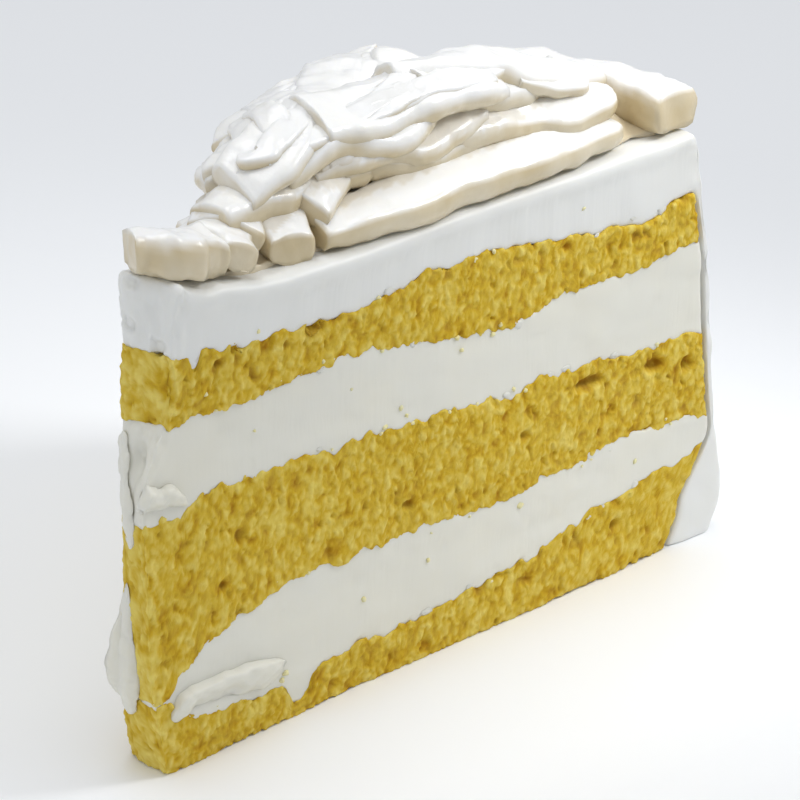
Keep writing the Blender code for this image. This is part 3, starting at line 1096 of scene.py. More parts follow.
@dataclass
class CreamLayer(Layer):
    """A filling of whipped cream, which a knife has dragged smooth."""

    wave: Texture = Texture(1.0, 2, 100, (0.16, 0.16, 0.3))
    wave_height: float = 0.18 * MM
    dent: Texture = Texture(2.4, 1, 110)
    dent_rarity: float = 0.45
    dent_share: float = 0.8
    drag: Texture = Texture(1.6, 3, 115, (1.0, 1.0, 0.6))
    drag_share: float = 1.2
    hollow_across: float = 0.2
    hollow_place: float = 3.0 * MM
    hollow_height: float = 45.8 * MM
    hollow_size: Place = (1.9 * MM, 1.9 * MM, 4.6 * MM)
    hollow_depth: float = 1.5 * MM
    hollow_reach: float = 1.1

    def relief(self, mesh: bpy.types.Mesh) -> None:
        """Leaves the knife's soft waves, a few small dents, and the nose rough with one hollow.

        Args:
            mesh: the layer's mesh.
        """
        form = self.form
        places = read_vertices(mesh)
        points = places / MM
        dents = -np.clip(self.dent.at(points) - self.dent_rarity, 0, 1)
        rough = form.near_nose(places) * self.drag.at(points)
        dented = self.wave.at(points) + self.dent_share * dents
        height = self.wave_height * (dented + self.drag_share * rough)
        tip = float(form.tip(np.float64(self.hollow_across), np.float64(self.hollow_height)))
        middle = form.spot(tip, self.hollow_place / (tip * form.wedge), self.hollow_height)
        away = np.linalg.norm((places - middle) / self.hollow_size, axis=1)
        raise_surface(mesh, height - self.hollow_depth * ease(self.hollow_reach - away))


@dataclass
class FrostingCoat(Layer):
    """The coat over the top, which turns down the rim and ends in a thick foot."""

    cuts_down: int = 130
    cut_bias: float = 1.35
    lip_height: float = 0.5 * MM
    lip_reach: float = 1.8 * MM
    edge_radius: float = 1.3 * MM
    level_from: float = 0.9
    sharp_from: float = 0.93
    near_across: float = 0.2
    near_up: float = 0.2
    near_along: float = 0.03
    swirl: Texture = Texture(1.0, 2, 120)
    swirl_size: tuple[float, float] = (22 * MM, 4.5 * MM)
    swirl_depth: float = 0.3 * MM
    rim_start: float = 2.0 * MM
    rim_length: float = 3.0 * MM
    wave: Texture = Texture(6.5, 2, 130)
    wave_height: float = 0.2 * MM
    drag: Texture = Texture(1.5, 3, 135, (1.0, 1.0, 0.5))
    drag_height: float = 0.3 * MM
    hole: Texture = Texture(1.9, 1, 140)
    hole_range: tuple[float, float] = (0.35, 0.3)
    hole_depth: float = 0.6 * MM

    def side(self, edge: Edge, over_top: np.ndarray, down_rim: np.ndarray,
             across: np.ndarray) -> tuple[np.ndarray, np.ndarray]:
        """Works out the coat's inner or outer side, which runs over the top and down the rim.

        Args:
            edge: the edge that the side follows: the frosting's own, or the sponge's under it.
            over_top: how far over the top, from 0 at the tip to 1 at the rim.
            down_rim: how far down the rim, from 0 at the top to 1 at the foot.
            across: place between the seen face (0) and the back face (1).

        Returns:
            The distance from the apex and the height at each place.
        """
        form = self.form
        is_outer = edge is Edge.FROSTING
        inset = 0.0 if is_outer else 1.0
        corner_radius = np.full(len(across), form.rim_radius if is_outer else form.rim(form.body_height))
        corner = form.level(edge, corner_radius, across)
        z_rim = corner * (1 - down_rim) ** self.cut_bias
        radius_rim = form.rim(z_rim) - inset * form.coat(z_rim)
        z = corner.copy()
        for _ in range(4):
            inner = form.tip(across, z)
            outer = form.rim(corner) - inset * form.coat(corner)
            radius = inner + (outer - inner) * over_top
            z = form.level(edge, radius, across)
        z = z + self.tear(edge, radius, across) * (1 - down_rim) - inset * self.overlap
        z = z + (corner - z) * ease((over_top - self.level_from) / (1 - self.level_from))
        if is_outer:
            depth = np.minimum(from_ends(across) * form.wedge * radius, radius - inner)
            bulge = 1 - np.sqrt(1 - np.clip(1 - depth / self.edge_radius, 0, 1) ** 2)
            rounded = 1 - ease((over_top - self.sharp_from) / (1 - self.sharp_from))
            z = z - self.edge_radius * bulge * rounded
        on_rim = down_rim > 0
        return np.where(on_rim, radius_rim, radius), np.where(on_rim, z_rim, z)

    def bend(self, block: Points) -> Points:
        """Bends a unit block into the coat.

        Args:
            block: places in the block, from 0 to 1 along, across and outwards.

        Returns:
            World coordinates.
        """
        along, across, out = block.T
        across = crowded(across, self.crowding)
        top_share = (self.cuts[0] - self.cuts_down) / self.cuts[0]
        over_top = np.minimum(along / top_share, 1.0)
        down_rim = np.maximum((along - top_share) / (1 - top_share), 0.0)
        radius_in, z_in = self.side(Edge.UPPER_SPONGE, over_top, down_rim, across)
        radius_out, z_out = self.side(Edge.FROSTING, over_top, down_rim, across)
        thickness = np.hypot(radius_out - radius_in, z_out - z_in)
        lip = self.lip_height * bell((1 - out) * thickness / self.lip_reach) * (down_rim == 0)
        inner_side = self.form.place(radius_in, across, z_in, -self.recess)
        outer_side = self.form.place(radius_out, across, z_out, lip)
        return inner_side + (outer_side - inner_side) * out[:, None]

    def relief(self, mesh: bpy.types.Mesh) -> None:
        """Leaves soft waves on the cut face, the spatula's marks round the rim, and a rough nose.

        Args:
            mesh: the coat's mesh.
        """
        places = read_vertices(mesh)
        points = places / MM
        radius, across = self.form.polar(places[:, 0], places[:, 1])
        arc = across * self.form.wedge * radius
        width, height = self.swirl_size
        swept = np.stack((arc / width, 0 * arc, places[:, 2] / height), axis=1)
        on_rim = ease((radius - self.form.rim_radius + self.rim_start) / self.rim_length)
        marks = self.swirl_depth * self.swirl.at(swept) * on_rim
        start, span = self.hole_range
        holes = -ease((self.hole.at(points) - start) / span)
        dragged = self.drag_height * self.drag.at(points) + self.hole_depth * holes
        waves = self.wave_height * self.wave.at(points)
        raise_surface(mesh, marks + waves + self.form.near_nose(places) * dragged, floor=0.0)


@dataclass(frozen=True)
class StripPlan:
    """One strip of coconut: plan points along the face and behind it, then its width and thickness."""

    points: tuple
    width: float
    thickness: float


# These strips show from the front, and the loose ones are laid between the first and the last.
FIRST_STRIPS = (
    StripPlan(((44, 4.2), (62, 3.8), (80, 3.8), (101, 5.0)), 8.0, 4.6),
    StripPlan(((15.0, 6.4), (19.5, 4.6), (27, 4.6)), 8.4, 6.4),
    StripPlan(((29, 1.2), (30.5, 8), (34, 16)), 7.4, 4.6),
    StripPlan(((38.5, 2.0), (40.5, 8), (48, 17)), 8.0, 5.0),
    StripPlan(((32.0, 4.6), (35, 10), (41, 20)), 7.2, 4.6),
    StripPlan(((112.5, 1.6), (112, 8), (110, 18), (107, 32)), 10.5, 7.4),
    StripPlan(((29.5, 8.0), (38, 11), (52, 13)), 8.5, 5.0),
    StripPlan(((30, 8.5), (40, 9), (54, 14)), 8.5, 5.0),
    StripPlan(((43.5, 4.6), (50, 8.5), (58, 16), (62, 26)), 8.5, 4.4),
)
LAST_STRIPS = (
    StripPlan(((66, 14), (80, 11.5), (93, 10.5), (104, 12)), 9.0, 4.6),
)


@dataclass
class LooseStrips:
    """The strips that cover the rest of the heap, drawn with a fixed seed, in millimetres and degrees."""

    form: SliceForm
    count: int = 27
    widths: tuple[float, float] = (7.5, 10.5)
    thicknesses: tuple[float, float] = (3.8, 5.2)
    lengths: tuple[float, float] = (30, 56)
    reach: tuple[float, float] = (30, 101)
    start: float = 27.0
    lean: float = 0.82
    margin: float = 4.0
    seen_margin: float = 9.5
    end_margin: float = 2.0
    turn: float = 24.0
    bow: float = 0.5
    crossing_step: int = 4
    crossing_turns: tuple[float, float] = (35.0, 75.0)
    crossing_length: float = 0.7
    spread: tuple = ((0.618, 0.3), (0.755, 0.37))
    side_share: float = 0.08
    first: int = 0
    seed: int = 11

    def draw(self) -> list[StripPlan]:
        """Draws all the strips, most of them pointing from the tip to the rim."""
        draw = random.Random(self.seed)
        return [self.draw_one(draw, self.first + index) for index in range(self.count)]

    def draw_one(self, draw: random.Random, index: int) -> StripPlan:
        """Draws one strip, and keeps it inside the edges of the top.

        Args:
            draw: where the random numbers come from.
            index: the strip's number, which spreads the strips evenly.

        Returns:
            The strip's plan.
        """
        nearest, furthest = self.reach
        wedge = self.form.wedge
        outwards, across = ((index * step + start) % 1 for step, start in self.spread)
        radius = math.sqrt(nearest ** 2 + outwards * (furthest ** 2 - nearest ** 2))
        angle = (self.side_share + (1 - 2 * self.side_share) * across) * wedge
        crosses = index % self.crossing_step == 0
        turn = draw.uniform(*self.crossing_turns) if crosses else draw.uniform(-self.turn, self.turn)
        heading = angle + math.radians(turn)
        length = draw.uniform(*self.lengths) * (self.crossing_length if crosses else 1)
        bow = draw.uniform(-self.bow, self.bow)
        middle = radius * np.array((math.cos(angle), math.sin(angle)))
        forwards = np.array((math.cos(heading), math.sin(heading)))
        leftwards = np.array((-math.sin(heading), math.cos(heading)))
        points = []
        for step in (-0.5, -0.17, 0.17, 0.5):
            sideways = bow * length * (0.25 - step ** 2)
            along, into = middle + step * length * forwards + sideways * leftwards
            reach = min(max(math.hypot(along, into), nearest), furthest + self.end_margin)
            nearer = min(self.seen_margin / reach, wedge / 2)
            held = max(min(math.atan2(into, along), wedge - self.margin / reach), nearer)
            behind = reach * math.sin(held)
            points.append((max(reach * math.cos(held), self.start + self.lean * behind), behind))
        return StripPlan(tuple(points), draw.uniform(*self.widths), draw.uniform(*self.thicknesses))


@dataclass
class HeapField:
    """The growing heap: the height reached so far over a grid of plan points."""

    form: SliceForm
    step: float = 1.0 * MM
    clearance: float = -0.3 * MM
    sink: float = 1.0 * MM
    settle: float = 0.72
    max_roll: float = math.radians(32)
    max_climb: float = math.tan(math.radians(34))
    core_stations: tuple = (14, 22, 30, 45, 60, 80, 100, 115)
    core_heights: tuple = (1.5, 2.5, 4.5, 5.0, 6.0, 6.0, 5.0, 2.0)
    core_edge: float = 1.2 * MM
    core_margin: float = 3.5 * MM
    core_slope: float = 8 * MM
    end_margin: float = 12 * MM
    half_width: float = 38 * MM

    def __post_init__(self) -> None:
        """Fills the grid with the frosting and the core on it."""
        self.low = np.array((self.form.apex_x, -self.half_width))
        columns = int((self.form.rim_radius + self.end_margin) / self.step)
        rows = int(2 * self.half_width / self.step)
        xs = self.low[0] + np.arange(columns) * self.step
        ys = self.low[1] + np.arange(rows) * self.step
        self.xs, self.ys = np.meshgrid(xs, ys, indexing="ij")
        base = self.form.frosting_top(self.xs, self.ys) + self.clearance + self.sink
        inside = self.form.inside(self.xs, self.ys) > self.core_margin
        core = np.where(inside, self.core_height(self.xs, self.ys), 0.0)
        self.height = base + np.maximum(core - self.sink, 0.0)

    def core_height(self, x: np.ndarray, y: np.ndarray) -> np.ndarray:
        """Gives the height of the heap's core over the frosting.

        Args:
            x: plan points' places along X.
            y: their places along Y.

        Returns:
            The height at each of them.
        """
        radius, _ = self.form.polar(x, y)
        full = curve(self.core_stations, self.core_heights, radius / MM) * MM
        rise = ease((self.form.inside(x, y) - self.core_margin) / self.core_slope)
        return self.core_edge + (full - self.core_edge) * rise

    def cells(self, points: Points) -> tuple[np.ndarray, np.ndarray]:
        """Finds the grid's cells at plan points.

        Args:
            points: the plan points.

        Returns:
            The cells' numbers along X and along Y.
        """
        index = np.round((points - self.low) / self.step).astype(int)
        i = np.clip(index[..., 0], 0, self.height.shape[0] - 1)
        j = np.clip(index[..., 1], 0, self.height.shape[1] - 1)
        return i, j

    def at(self, points: Points) -> np.ndarray:
        """The height reached at plan points."""
        return self.height[self.cells(points)]

    def closed(self, turns: int) -> np.ndarray:
        """Gives the height reached, with its narrow hollows filled.

        Args:
            turns: how many cells wide half a hollow may be.

        Returns:
            The height of each cell.
        """
        height = self.height
        for widest in (np.maximum, np.minimum):
            for _ in range(turns):
                padded = np.pad(height, 1, mode="edge")
                along = widest(padded[:-2, 1:-1], padded[2:, 1:-1])
                height = widest(height, widest(along, widest(padded[1:-1, :-2], padded[1:-1, 2:])))
        return height

    def lay(self, plan: Points, width: float,
            thickness: float) -> tuple[Points, Points, np.ndarray]:
        """Lays a strip on the heap.

        Args:
            plan: plan points along the strip.
            width: the strip's width.
            thickness: its thickness.

        Returns:
            Its middle line, its sideways direction and its roll at each point.
        """
        side = np.gradient(plan, axis=0)
        side = np.stack((-side[:, 1], side[:, 0]), axis=1)
        side /= np.linalg.norm(side, axis=1)[:, None]
        reach = width / 3
        left = self.at(plan + side * reach)
        right = self.at(plan - side * reach)
        roll = np.clip(np.arctan2(left - right, 2 * reach), -self.max_roll, self.max_roll)
        base = np.maximum(self.at(plan), np.maximum(left, right) - reach * np.abs(np.tan(roll)))
        line = base.copy()
        climb = self.max_climb * np.linalg.norm(plan[1] - plan[0])
        for i in range(1, len(line)):
            line[i] = min(line[i], line[i - 1] + climb)
            line[-i - 1] = min(line[-i - 1], line[-i] + climb)
        for _ in range(4):
            line[1:-1] = np.maximum(line[1:-1], (line[:-2] + line[2:]) / 2)
            roll[1:-1] = (roll[:-2] + 2 * roll[1:-1] + roll[2:]) / 4
        centre = line + thickness / 2 - self.sink
        for point, offset, z, tilt in zip(plan, side, centre, roll):
            away = np.stack((self.xs - point[0], self.ys - point[1]), axis=-1)
            near = np.hypot(away[..., 0], away[..., 1]) < width / 2
            top = z + thickness * (0.5 - self.settle) + (away @ offset) * math.tan(tilt)
            self.height = np.where(near, np.maximum(self.height, top), self.height)
        return np.column_stack((plan, centre)), side, roll


def lengths_along(points: Points) -> np.ndarray:
    """The length of a line of points up to each of them."""
    return np.concatenate(([0], np.cumsum(np.linalg.norm(np.diff(points, axis=0), axis=1))))


def curves(stations: np.ndarray, values: Points, x: np.ndarray) -> Points:
    """Reads a smooth curve through each column of values, side by side."""
    return np.stack([curve(stations, column, x) for column in values.T], axis=1)


def smooth_path(points: Points, count: int) -> Points:
    """Takes even steps along a smooth curve through plan points.

    Args:
        points: the plan points.
        count: the number of points to give.

    Returns:
        The new plan points.
    """
    steps = lengths_along(points)
    path = curves(steps, points, np.linspace(0, steps[-1], 60))
    length = lengths_along(path)
    even = np.linspace(0, length[-1], count)
    return np.stack([np.interp(even, length, column) for column in path.T], axis=1)


@dataclass
class CoconutHeap:
    """The heap: a creamy core with the strips of coconut laid over it."""

    form: SliceForm
    material: bpy.types.Material
    strip_steps: int = 9
    strip_cuts: Cuts = (60, 12, 6)
    shred_cuts: Cuts = (36, 8, 4)
    squareness: float = 0.31
    end_taper: float = 0.18
    waist: Texture = Texture(1.0, 1, 150, (7.0, 0.0, 3.1))
    uneven_width: float = 0.16
    bulk: Texture = Texture(1.0, 1, 151, (6.0, 1.0, 2.3))
    uneven_thickness: float = 0.14
    lumps: Texture = Texture(3.2, 3, 160)
    lump_height: float = 0.32 * MM
    # Noise and heights for the mix of white cream and beige painted shade on the strips.
    cream_and_shade_noise: Texture = Texture(3.0, 2, 175)
    low_shade_height: float = 4.5 * MM
    low_shade_fade: float = 6.0 * MM
    shade_start: float = 0.2 * MM
    shade_depth: float = 2.0 * MM
    core_cuts: Cuts = (90, 46, 6)
    core_cream_and_shade: tuple[float, float] = (0.15, 0.95)
    core_sink: float = 0.3 * MM
    core_rounding: int = 6
    core_lumps: Texture = Texture(3.6, 3, 180)
    core_lump_height: float = 0.6 * MM
    cream_rise: float = 0.3 * MM
    open_reach: float = 7.0 * MM
    closing: int = 3

    def __post_init__(self) -> None:
        """Starts with the bare core."""
        self.field = HeapField(self.form)

    def strip(self, index: int, plan: StripPlan, cuts: Cuts) -> bpy.types.Mesh:
        """Lays one strip and gives its mesh.

        Args:
            index: the strip's number, which varies its unevenness.
            plan: where it lies and its size.
            cuts: its mesh counts along, across and through.

        Returns:
            A closed mesh.
        """
        width = plan.width * MM
        thickness = plan.thickness * MM
        corners = np.array([self.form.from_face(a * MM, b * MM) for a, b in plan.points])
        line, side, roll = self.field.lay(smooth_path(corners, self.strip_steps + 1), width, thickness)
        mesh = grid_block(cuts, "strip")
        along, across, up = read_vertices(mesh).T
        knots = np.arange(self.strip_steps + 1.0)
        at = along * self.strip_steps
        centre = curves(knots, line, at)
        sideways = curves(knots, side, at)
        turn = curve(knots, roll, at)
        taper = 1 - self.end_taper * np.abs(2 * along - 1) ** 3
        a = 2 * across - 1
        b = 2 * up - 1
        spots = np.stack((along, a, 0 * a + index), axis=1)
        uneven = 1 + self.uneven_width * self.waist.at(spots)
        wide = a * np.sqrt(1 - self.squareness * b * b) * width / 2 * taper * uneven
        uneven = 1 + self.uneven_thickness * self.bulk.at(spots)
        tall = b * np.sqrt(1 - self.squareness * a * a) * thickness / 2 * taper * uneven
        direction = np.column_stack((sideways * np.cos(turn)[:, None], np.sin(turn)))
        normal = np.column_stack((-sideways * np.sin(turn)[:, None], np.cos(turn)))
        move_vertices(mesh, centre + direction * wide[:, None] + normal * tall[:, None])
        return mesh

    def texture(self, mesh: bpy.types.Mesh) -> None:
        """Makes the flesh uneven, and keeps where cream covers it: on top, and thinner on the sides, with
        beige painted shade on the sides, low on the heap and deep between the strips.

        Args:
            mesh: the strips' mesh.
        """
        places = read_vertices(mesh)
        # White on top is cream and painted light; beige on the sides, low on the heap and deep between the
        # strips is painted shade.
        faces_up = read_vertices(mesh, "normal")[:, 2] + 0.14 * self.cream_and_shade_noise.at(places / MM)
        high = places[:, 2] - self.form.frosting_top(places[:, 0], places[:, 1])
        low_shade = 1 - ease((high - self.low_shade_height) / self.low_shade_fade)
        cream_cover_and_shade = ease((faces_up + 0.4 - 0.7 * low_shade) / (0.8 - 0.3 * low_shade))
        deep = self.field.closed(self.closing)[self.field.cells(places[:, :2])] - places[:, 2]
        shaded = ease((deep - self.shade_start) / self.shade_depth)
        set_values(mesh, "cream_cover_and_shade", cream_cover_and_shade * (1 - 0.35 * shaded))
        raise_surface(mesh, self.lump_height * self.lumps.at(places / MM))

    def lay(self, name: str, plans: list[StripPlan], cuts: Cuts) -> bpy.types.Object:
        """Lays strips over what the heap has, and joins them into one piece.

        Args:
            name: the piece's name.
            plans: where the strips lie, from the lowest to the highest.
            cuts: each strip's mesh counts along, across and through.

        Returns:
            The piece.
        """
        bm = bmesh.new()
        for index, plan in enumerate(plans):
            mesh = self.strip(index, plan, cuts)
            bm.from_mesh(mesh)
            bpy.data.meshes.remove(mesh)
        joined = mesh_of(bm, name)
        self.texture(joined)
        piece = new_piece(name, joined, self.material)
        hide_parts("coconut_strips")
        report(piece)
        return piece

    def strips(self) -> bpy.types.Object:
        """Lays the strips that the solid has."""
        plans = [*FIRST_STRIPS, *LooseStrips(self.form).draw(), *LAST_STRIPS]
        return self.lay("coconut_strips_laid", plans, self.strip_cuts)

    def shreds(self) -> bpy.types.Object:
        """Lays thin shreds over the strips.

        Returns:
            The piece.
        """
        loose = LooseStrips(self.form, count=32, widths=(3.2, 4.8), thicknesses=(2.0, 2.8),
                            lengths=(22, 44), reach=(34, 100), start=30.0, seen_margin=7.5,
                            crossing_step=6, first=5, seed=23)
        return self.lay("coconut_shreds", loose.draw(), self.shred_cuts)

    def core(self) -> bpy.types.Object:
        """Makes the mound of cream and coconut under the strips.

        Returns:
            The piece.
        """
        form = self.form
        margin = self.field.core_margin
        mesh = grid_block(self.core_cuts, "coconut_core")
        along, across, up = read_vertices(mesh).T
        tip = form.tip(0.5 + (across - 0.5) * 0.98, np.full(len(up), form.body_height)) + margin
        radius = tip + (form.rim_radius - margin - tip) * along
        inset = np.minimum(margin / (radius * form.wedge), 0.35)
        angle = (inset + (1 - 2 * inset) * across - 0.5) * form.wedge
        x = form.apex_x + radius * np.cos(angle)
        y = radius * np.sin(angle)
        low = form.frosting_top(x, y) - self.core_sink
        deep = ease((form.inside(x, y) - self.open_reach) / self.open_reach)
        spots = self.field.cells(np.stack((x, y), axis=-1))
        filled = self.field.closed(self.closing)[spots] + self.cream_rise
        mound = low + self.field.core_height(x, y)
        high = np.maximum(mound, mound + (filled - mound) * deep)
        move_vertices(mesh, np.stack((x, y, low + (high - low) * up), axis=1))
        soften(mesh, np.ones(len(up), dtype=bool), self.core_rounding)
        raise_surface(mesh, self.core_lump_height * self.core_lumps.at(read_vertices(mesh) / MM))
        # Painted shade: the core is beige near its front edge, in the hollows under the strips, and white
        # further in.
        thin, thick = self.core_cream_and_shade
        set_values(mesh, "cream_cover_and_shade", thin + (thick - thin) * deep)
        piece = new_piece("coconut_core", mesh, self.material)
        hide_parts("coconut_strips")
        report(piece)
        return piece


class Side(Enum):
    """The cut sides that show."""

    FACE = "face"
    NOSE = "nose"


@dataclass(frozen=True)
class Smear:
    """A dab of cream dragged along a path on a cut side. On the seen face it may fold round the nose.

    A point of the path is its place along the side, its height, half its width and how proud it
    stands, in millimetres. Along the nose, the place runs from 0 at the seen face to 1 at the back.
    The dab's highest line lies at ridge, from -1 at its lower edge to 1 at its upper edge.
    """

    side: Side
    path: tuple[tuple[float, float, float, float], ...]
    ridge: float = 0.0


SMEARS = {
    "cream_lower": (
        Smear(Side.FACE, ((13.2, 8.6, 1.3, 0.8), (15.0, 9.6, 1.9, 1.3), (18.5, 10.3, 1.6, 1.3),
                          (24.0, 9.9, 2.0, 1.2), (30.0, 9.0, 2.2, 1.2), (34.4, 9.2, 1.3, 0.6)), 0.8),
        Smear(Side.NOSE, ((0.80, 27.5, 0.9, 0.3), (0.82, 21.0, 1.7, 0.6), (0.82, 15.5, 2.6, 1.5),
                          (0.82, 11.5, 2.4, 1.6), (0.80, 8.2, 1.2, 0.5))),
    ),
    "cream_upper": (
        Smear(Side.NOSE, ((0.88, 48.5, 0.8, 0.3), (0.86, 46.0, 1.5, 0.7), (0.84, 43.0, 1.5, 0.8),
                          (0.74, 38.0, 2.0, 0.8), (0.68, 32.5, 1.2, 0.3))),
        Smear(Side.FACE, ((9.2, 39.6, 1.2, 0.8), (11.4, 41.2, 1.9, 1.5), (13.4, 40.4, 1.5, 1.0),
                          (15.4, 40.6, 1.7, 1.4), (18.0, 38.4, 1.0, 0.5)), 0.3),
    ),
}


@dataclass
class CreamSmears:
    """The dabs of cream that the knife dragged over the sponge."""

    form: SliceForm
    material: bpy.types.Material
    cuts: Cuts = (48, 18, 6)
    sunk: float = 0.9 * MM
    end_power: int = 6
    fold: float = 1.5 * MM
    lumps: Texture = Texture(1.8, 3, 200)
    lump_height: float = 0.28 * MM

    def bend(self, smear: Smear, block: Points) -> Points:
        """Bends a unit block into a dab: lens-shaped, round at both ends.

        Args:
            smear: the dab's path and size.
            block: places in the block, from 0 to 1 along, across and outwards.

        Returns:
            World coordinates.
        """
        along, across, out = block.T
        knots = np.linspace(0, 1, len(smear.path))
        place, height, half, proud = (curve(knots, values, along) for values in zip(*smear.path))
        v = 2 * across - 1
        end = np.sqrt(np.clip(1 - np.abs(2 * along - 1) ** self.end_power, 0.0, 1.0))
        shift = v * half * end * MM
        slope = np.where(v < smear.ridge, 1 + smear.ridge, 1 - smear.ridge)
        crown = (1 - ((v - smear.ridge) / slope) ** 2) * end
        rise = out * proud * MM * crown - (1 - out) * self.sunk * crown
        if smear.side is Side.FACE:
            z = height * MM + shift
            corner = self.form.tip(0 * along, z)
            past = np.maximum(corner - place * MM, 0.0)
            folded = rise * ease(past / self.fold)
            turn = past / (corner * self.form.wedge)
            return self.form.place(np.maximum(place * MM, corner) - folded, turn, z, rise - folded)
        z = height * MM
        tip = self.form.tip(place, z)
        turn = place + shift / (tip * self.form.wedge)
        radius = self.form.tip(np.clip(turn, 0, 1), z) - rise
        return self.form.place(radius, turn, z)

    def build(self, node: str) -> bpy.types.Object:
        """Makes a filling's dabs as one piece.

        Args:
            node: the filling that they belong to.

        Returns:
            The piece.
        """
        bm = bmesh.new()
        for smear in SMEARS[node]:
            mesh = grid_block(self.cuts, "smear")
            move_vertices(mesh, self.bend(smear, read_vertices(mesh)))
            bm.from_mesh(mesh)
            bpy.data.meshes.remove(mesh)
        bmesh.ops.remove_doubles(bm, verts=bm.verts, dist=0.01 * MM)
        bmesh.ops.recalc_face_normals(bm, faces=bm.faces)
        joined = mesh_of(bm, node + "_smears")
        raise_surface(joined, self.lump_height * self.lumps.at(read_vertices(joined) / MM))
        piece = new_piece(node + "_smears", joined, self.material)
        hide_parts(node)
        report(piece)
        return piece


@dataclass(frozen=True)
class Bit:
    """A crumb or a fleck on the seen face: its place, height and size, in millimetres."""

    along: float
    height: float
    size: float


CRUMBS = (
    Bit(75.4, 47.4, 0.9), Bit(21.7, 52.8, 0.8), Bit(66.8, 47.8, 0.9), Bit(48.8, 13.5, 1.0),
    Bit(104.4, 16.9, 0.8), Bit(79.4, 18.1, 1.1), Bit(34.2, 7.4, 1.1), Bit(67.6, 45.8, 0.7),
    Bit(33.0, 22.0, 0.7), Bit(56.0, 40.6, 0.8), Bit(92.0, 60.4, 0.7), Bit(30.0, 45.0, 0.5),
    Bit(47.0, 46.0, 0.5), Bit(61.0, 15.5, 0.6),
)


@dataclass
class Scatter:
    """Small bits left on the cut faces, near the edges between sponge and cream."""

    form: SliceForm
    name: str
    node: str
    material: bpy.types.Material
    slot: Slot
    count: int
    sizes: tuple[float, float]
    stray: float
    flatness: float
    stretch: float = 1.0
    squat: float = 0.85
    bits: tuple[Bit, ...] = ()
    seed: int = 5
    along_range: tuple[float, float] = (18.0, 114.0)
    sunk: float = 0.2
    uneven: float = 0.6
    tone: Texture = Texture(0.4, 1, 220)

    def draw(self) -> list[tuple[Bit, int]]:
        """Draws the bits for both cut faces.

        Returns:
            Each bit, with the face that it lies on: 0 is the seen one and 1 the back one.
        """
        draw = random.Random(self.seed)
        drawn = [(bit, 0) for bit in self.bits]
        edges = list(Edge)[1:-1]
        for index in range(self.count):
            along = draw.uniform(*self.along_range)
            side = index % 2
            edge = draw.choice(edges)
            level = float(self.form.level(edge, np.float64(along * MM), np.float64(side))) / MM
            height = level + draw.gauss(0, self.stray)
            drawn.append((Bit(along, height, draw.uniform(*self.sizes)), side))
        return drawn

    def build(self) -> bpy.types.Object:
        """Makes all the bits as one piece.

        Returns:
            The piece.
        """
        bm = bmesh.new()
        for index, (bit, side) in enumerate(self.draw()):
            spot = self.form.spot(bit.along * MM, side, bit.height * MM, -self.sunk * bit.size * MM)
            made = bmesh.ops.create_icosphere(bm, subdivisions=2, radius=bit.size / 2 * MM)
            centres = np.array([vert.co for vert in made["verts"]])
            shape = 1 + self.uneven * smooth_noise(centres / (bit.size * 0.36 * MM) + index * 9.7, 210)
            facing = -1 if side == 0 else 1
            for vert, grow in zip(made["verts"], shape):
                vert.co *= float(grow)
                vert.co.x *= self.stretch
                vert.co.y *= self.flatness
                vert.co.z *= self.squat
                vert.co.rotate(Euler((0, 0, facing * self.form.wedge / 2)))
                vert.co += Vector(spot)
        mesh = mesh_of(bm, self.name)
        set_values(mesh, "crumb_tone_and_shade", 0.7 + 0.25 * self.tone.at(read_vertices(mesh) / MM))
        piece = new_piece(self.name, mesh, self.material)
        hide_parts(self.node)
        report(piece)
        return piece


@dataclass(frozen=True)
class Lamp:
    """A soft square lamp: its place, side and watts, the point that it faces and its beam's angle."""

    name: str
    place: Place
    size: float
    power: float
    aim: Place = (0.0, 0.0, 0.04)
    beam: float = math.pi


LAMPS = (
    Lamp("overhead", (0.05, 0.08, 1.00), 0.6, 3.4),
    Lamp("left", (-0.50, 0.10, 0.30), 0.4, 0.3),
    Lamp("side", (0.12, -0.16, 0.24), 0.08, 0.045, (0.05, -0.03, 0.07), math.radians(56)),
)


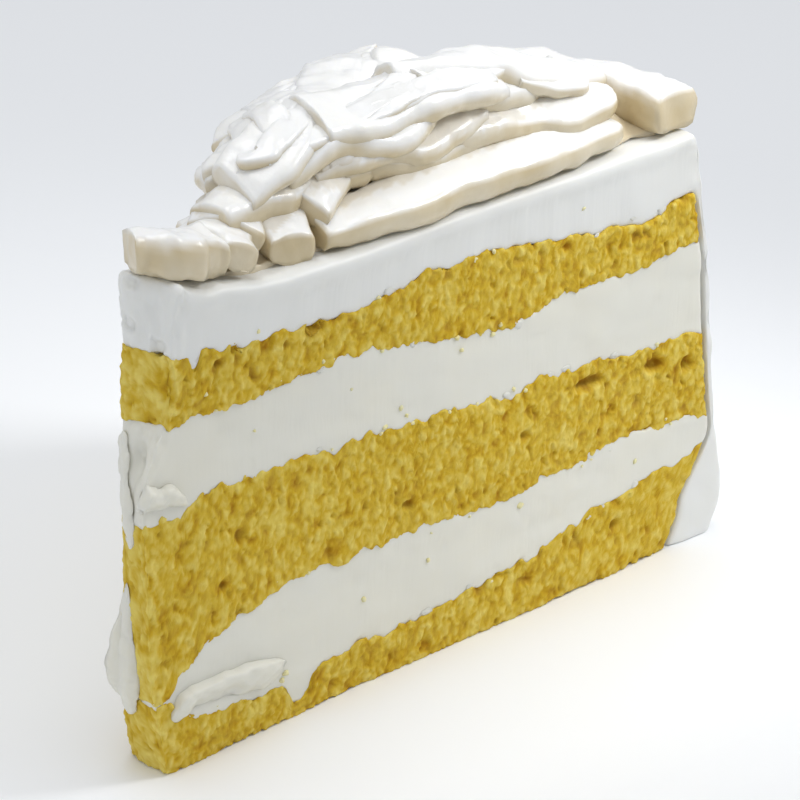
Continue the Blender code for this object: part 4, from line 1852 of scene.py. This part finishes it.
@dataclass(frozen=True)
class Studio:
    """A plain pale floor, soft light and the camera."""

    floor_colour: Colour = (0.92, 0.935, 0.955)
    floor_reach: float = 4.0
    floor_roughness: float = 0.5
    camera_azimuth: float = math.radians(58.449)
    camera_elevation: float = math.radians(23.514)
    camera_roll: float = -0.0064
    camera_distance: float = 450 * MM
    camera_target: Place = (-4.72 * MM, -9.77 * MM, 37.57 * MM)
    lens: float = 144.0
    world_colour: Colour = (0.95, 0.97, 1.0)
    world_strength: float = 0.55

    def floor(self) -> None:
        """Lays the floor."""
        bm = bmesh.new()
        bmesh.ops.create_grid(bm, x_segments=1, y_segments=1, size=self.floor_reach)
        mesh = mesh_of(bm, "studio_floor")
        material, _, shader = new_material("studio_floor")
        shader.inputs["Base Color"].default_value = opaque(self.floor_colour)
        shader.inputs["Roughness"].default_value = self.floor_roughness
        mesh.materials.append(material)
        floor = bpy.data.objects.new("studio_floor", mesh)
        bpy.context.scene.collection.objects.link(floor)

    def hang(self, lamp: Lamp) -> None:
        """Hangs a lamp.

        Args:
            lamp: which lamp.
        """
        light = bpy.data.lights.new(lamp.name, "AREA")
        light.size = lamp.size
        light.energy = lamp.power
        light.spread = lamp.beam
        hung = bpy.data.objects.new(lamp.name, light)
        hung.location = lamp.place
        hung.rotation_euler = (Vector(lamp.aim) - Vector(lamp.place)).to_track_quat("-Z", "Y").to_euler()
        bpy.context.scene.collection.objects.link(hung)

    def lights(self) -> None:
        """Fills the room with soft light and hangs the lamps."""
        world = bpy.data.worlds.new("studio")
        world.use_nodes = True
        background = world.node_tree.nodes["Background"]
        background.inputs["Color"].default_value = opaque(self.world_colour)
        background.inputs["Strength"].default_value = self.world_strength
        bpy.context.scene.world = world
        for lamp in LAMPS:
            self.hang(lamp)

    def camera(self) -> None:
        """Puts the camera where the slice is seen from."""
        lens = bpy.data.cameras.new("camera")
        lens.lens = self.lens
        lens.clip_start = 0.01
        camera = bpy.data.objects.new("camera", lens)
        turn = Euler((math.pi / 2 - self.camera_elevation, 0, -self.camera_azimuth)).to_matrix()
        turn = turn @ Matrix.Rotation(self.camera_roll, 3, "Z")
        camera.matrix_world = turn.to_4x4()
        camera.location = Vector(self.camera_target) + turn @ Vector((0, 0, self.camera_distance))
        bpy.context.scene.collection.objects.link(camera)
        bpy.context.scene.camera = camera

    def build(self) -> None:
        """Sets up the room."""
        self.floor()
        self.lights()
        self.camera()
        bpy.context.scene.view_settings.view_transform = "Standard"


def main() -> None:
    """Builds the slice from the base up, and the room round it."""
    form = SliceForm()
    sponge = SpongeFinish().material("sponge_crumb")
    cream = CreamFinish().material("whipped_cream_shaded")
    pale = SpongeFinish(pit=(0.66, 0.54, 0.17), body=(0.76, 0.68, 0.32), lump=(0.80, 0.76, 0.50),
                        patch=(0.78, 0.72, 0.42)).material("sponge_crumbs")
    icing = CreamFinish(body=(0.775, 0.78, 0.755), patch=(0.76, 0.76, 0.73)).material("cream_frosting")
    coconut = CoconutFinish().material("coconut_flesh")
    filling = {"material": cream, "slot": Slot.CREAM, "recess": 0.2 * MM, "overlap": 0.5 * MM}
    coat = {**filling, "material": icing, "rounding": 26}
    open_crumb = {"material": sponge, "slot": Slot.SPONGE, "rounding": 10}
    layers = (
        (SpongeLayer, "sponge_bottom", (420, 30, 36), open_crumb),
        (CreamLayer, "cream_lower", (300, 26, 34), filling),
        (SpongeLayer, "sponge_middle", (420, 30, 70), open_crumb),
        (CreamLayer, "cream_upper", (300, 26, 34), filling),
        (SpongeLayer, "sponge_top", (420, 30, 38), open_crumb),
        (FrostingCoat, "frosting", (530, 36, 28), coat),
    )
    for (under, over), (kind, name, cuts, dress) in zip(itertools.pairwise(Edge), layers):
        kind(form, name, under, over, cuts, **dress).build()
    smears = CreamSmears(form, cream)
    for node in SMEARS:
        smears.build(node)
    Scatter(form, "sponge_crumbs", "sponge_middle", pale, Slot.SPONGE, count=60, sizes=(0.4, 0.9),
            stray=0.6, flatness=0.6, bits=CRUMBS).build()
    Scatter(form, "cream_flecks", "cream_upper", cream, Slot.CREAM, count=44, sizes=(0.7, 1.6),
            stray=0.5, flatness=0.3, stretch=1.5, seed=6).build()
    heap = CoconutHeap(form, coconut)
    heap.strips()
    heap.shreds()
    heap.core()
    Studio().build()


if __name__ == "__main__":
    logging.basicConfig(level=logging.INFO, format="%(message)s")
    main()
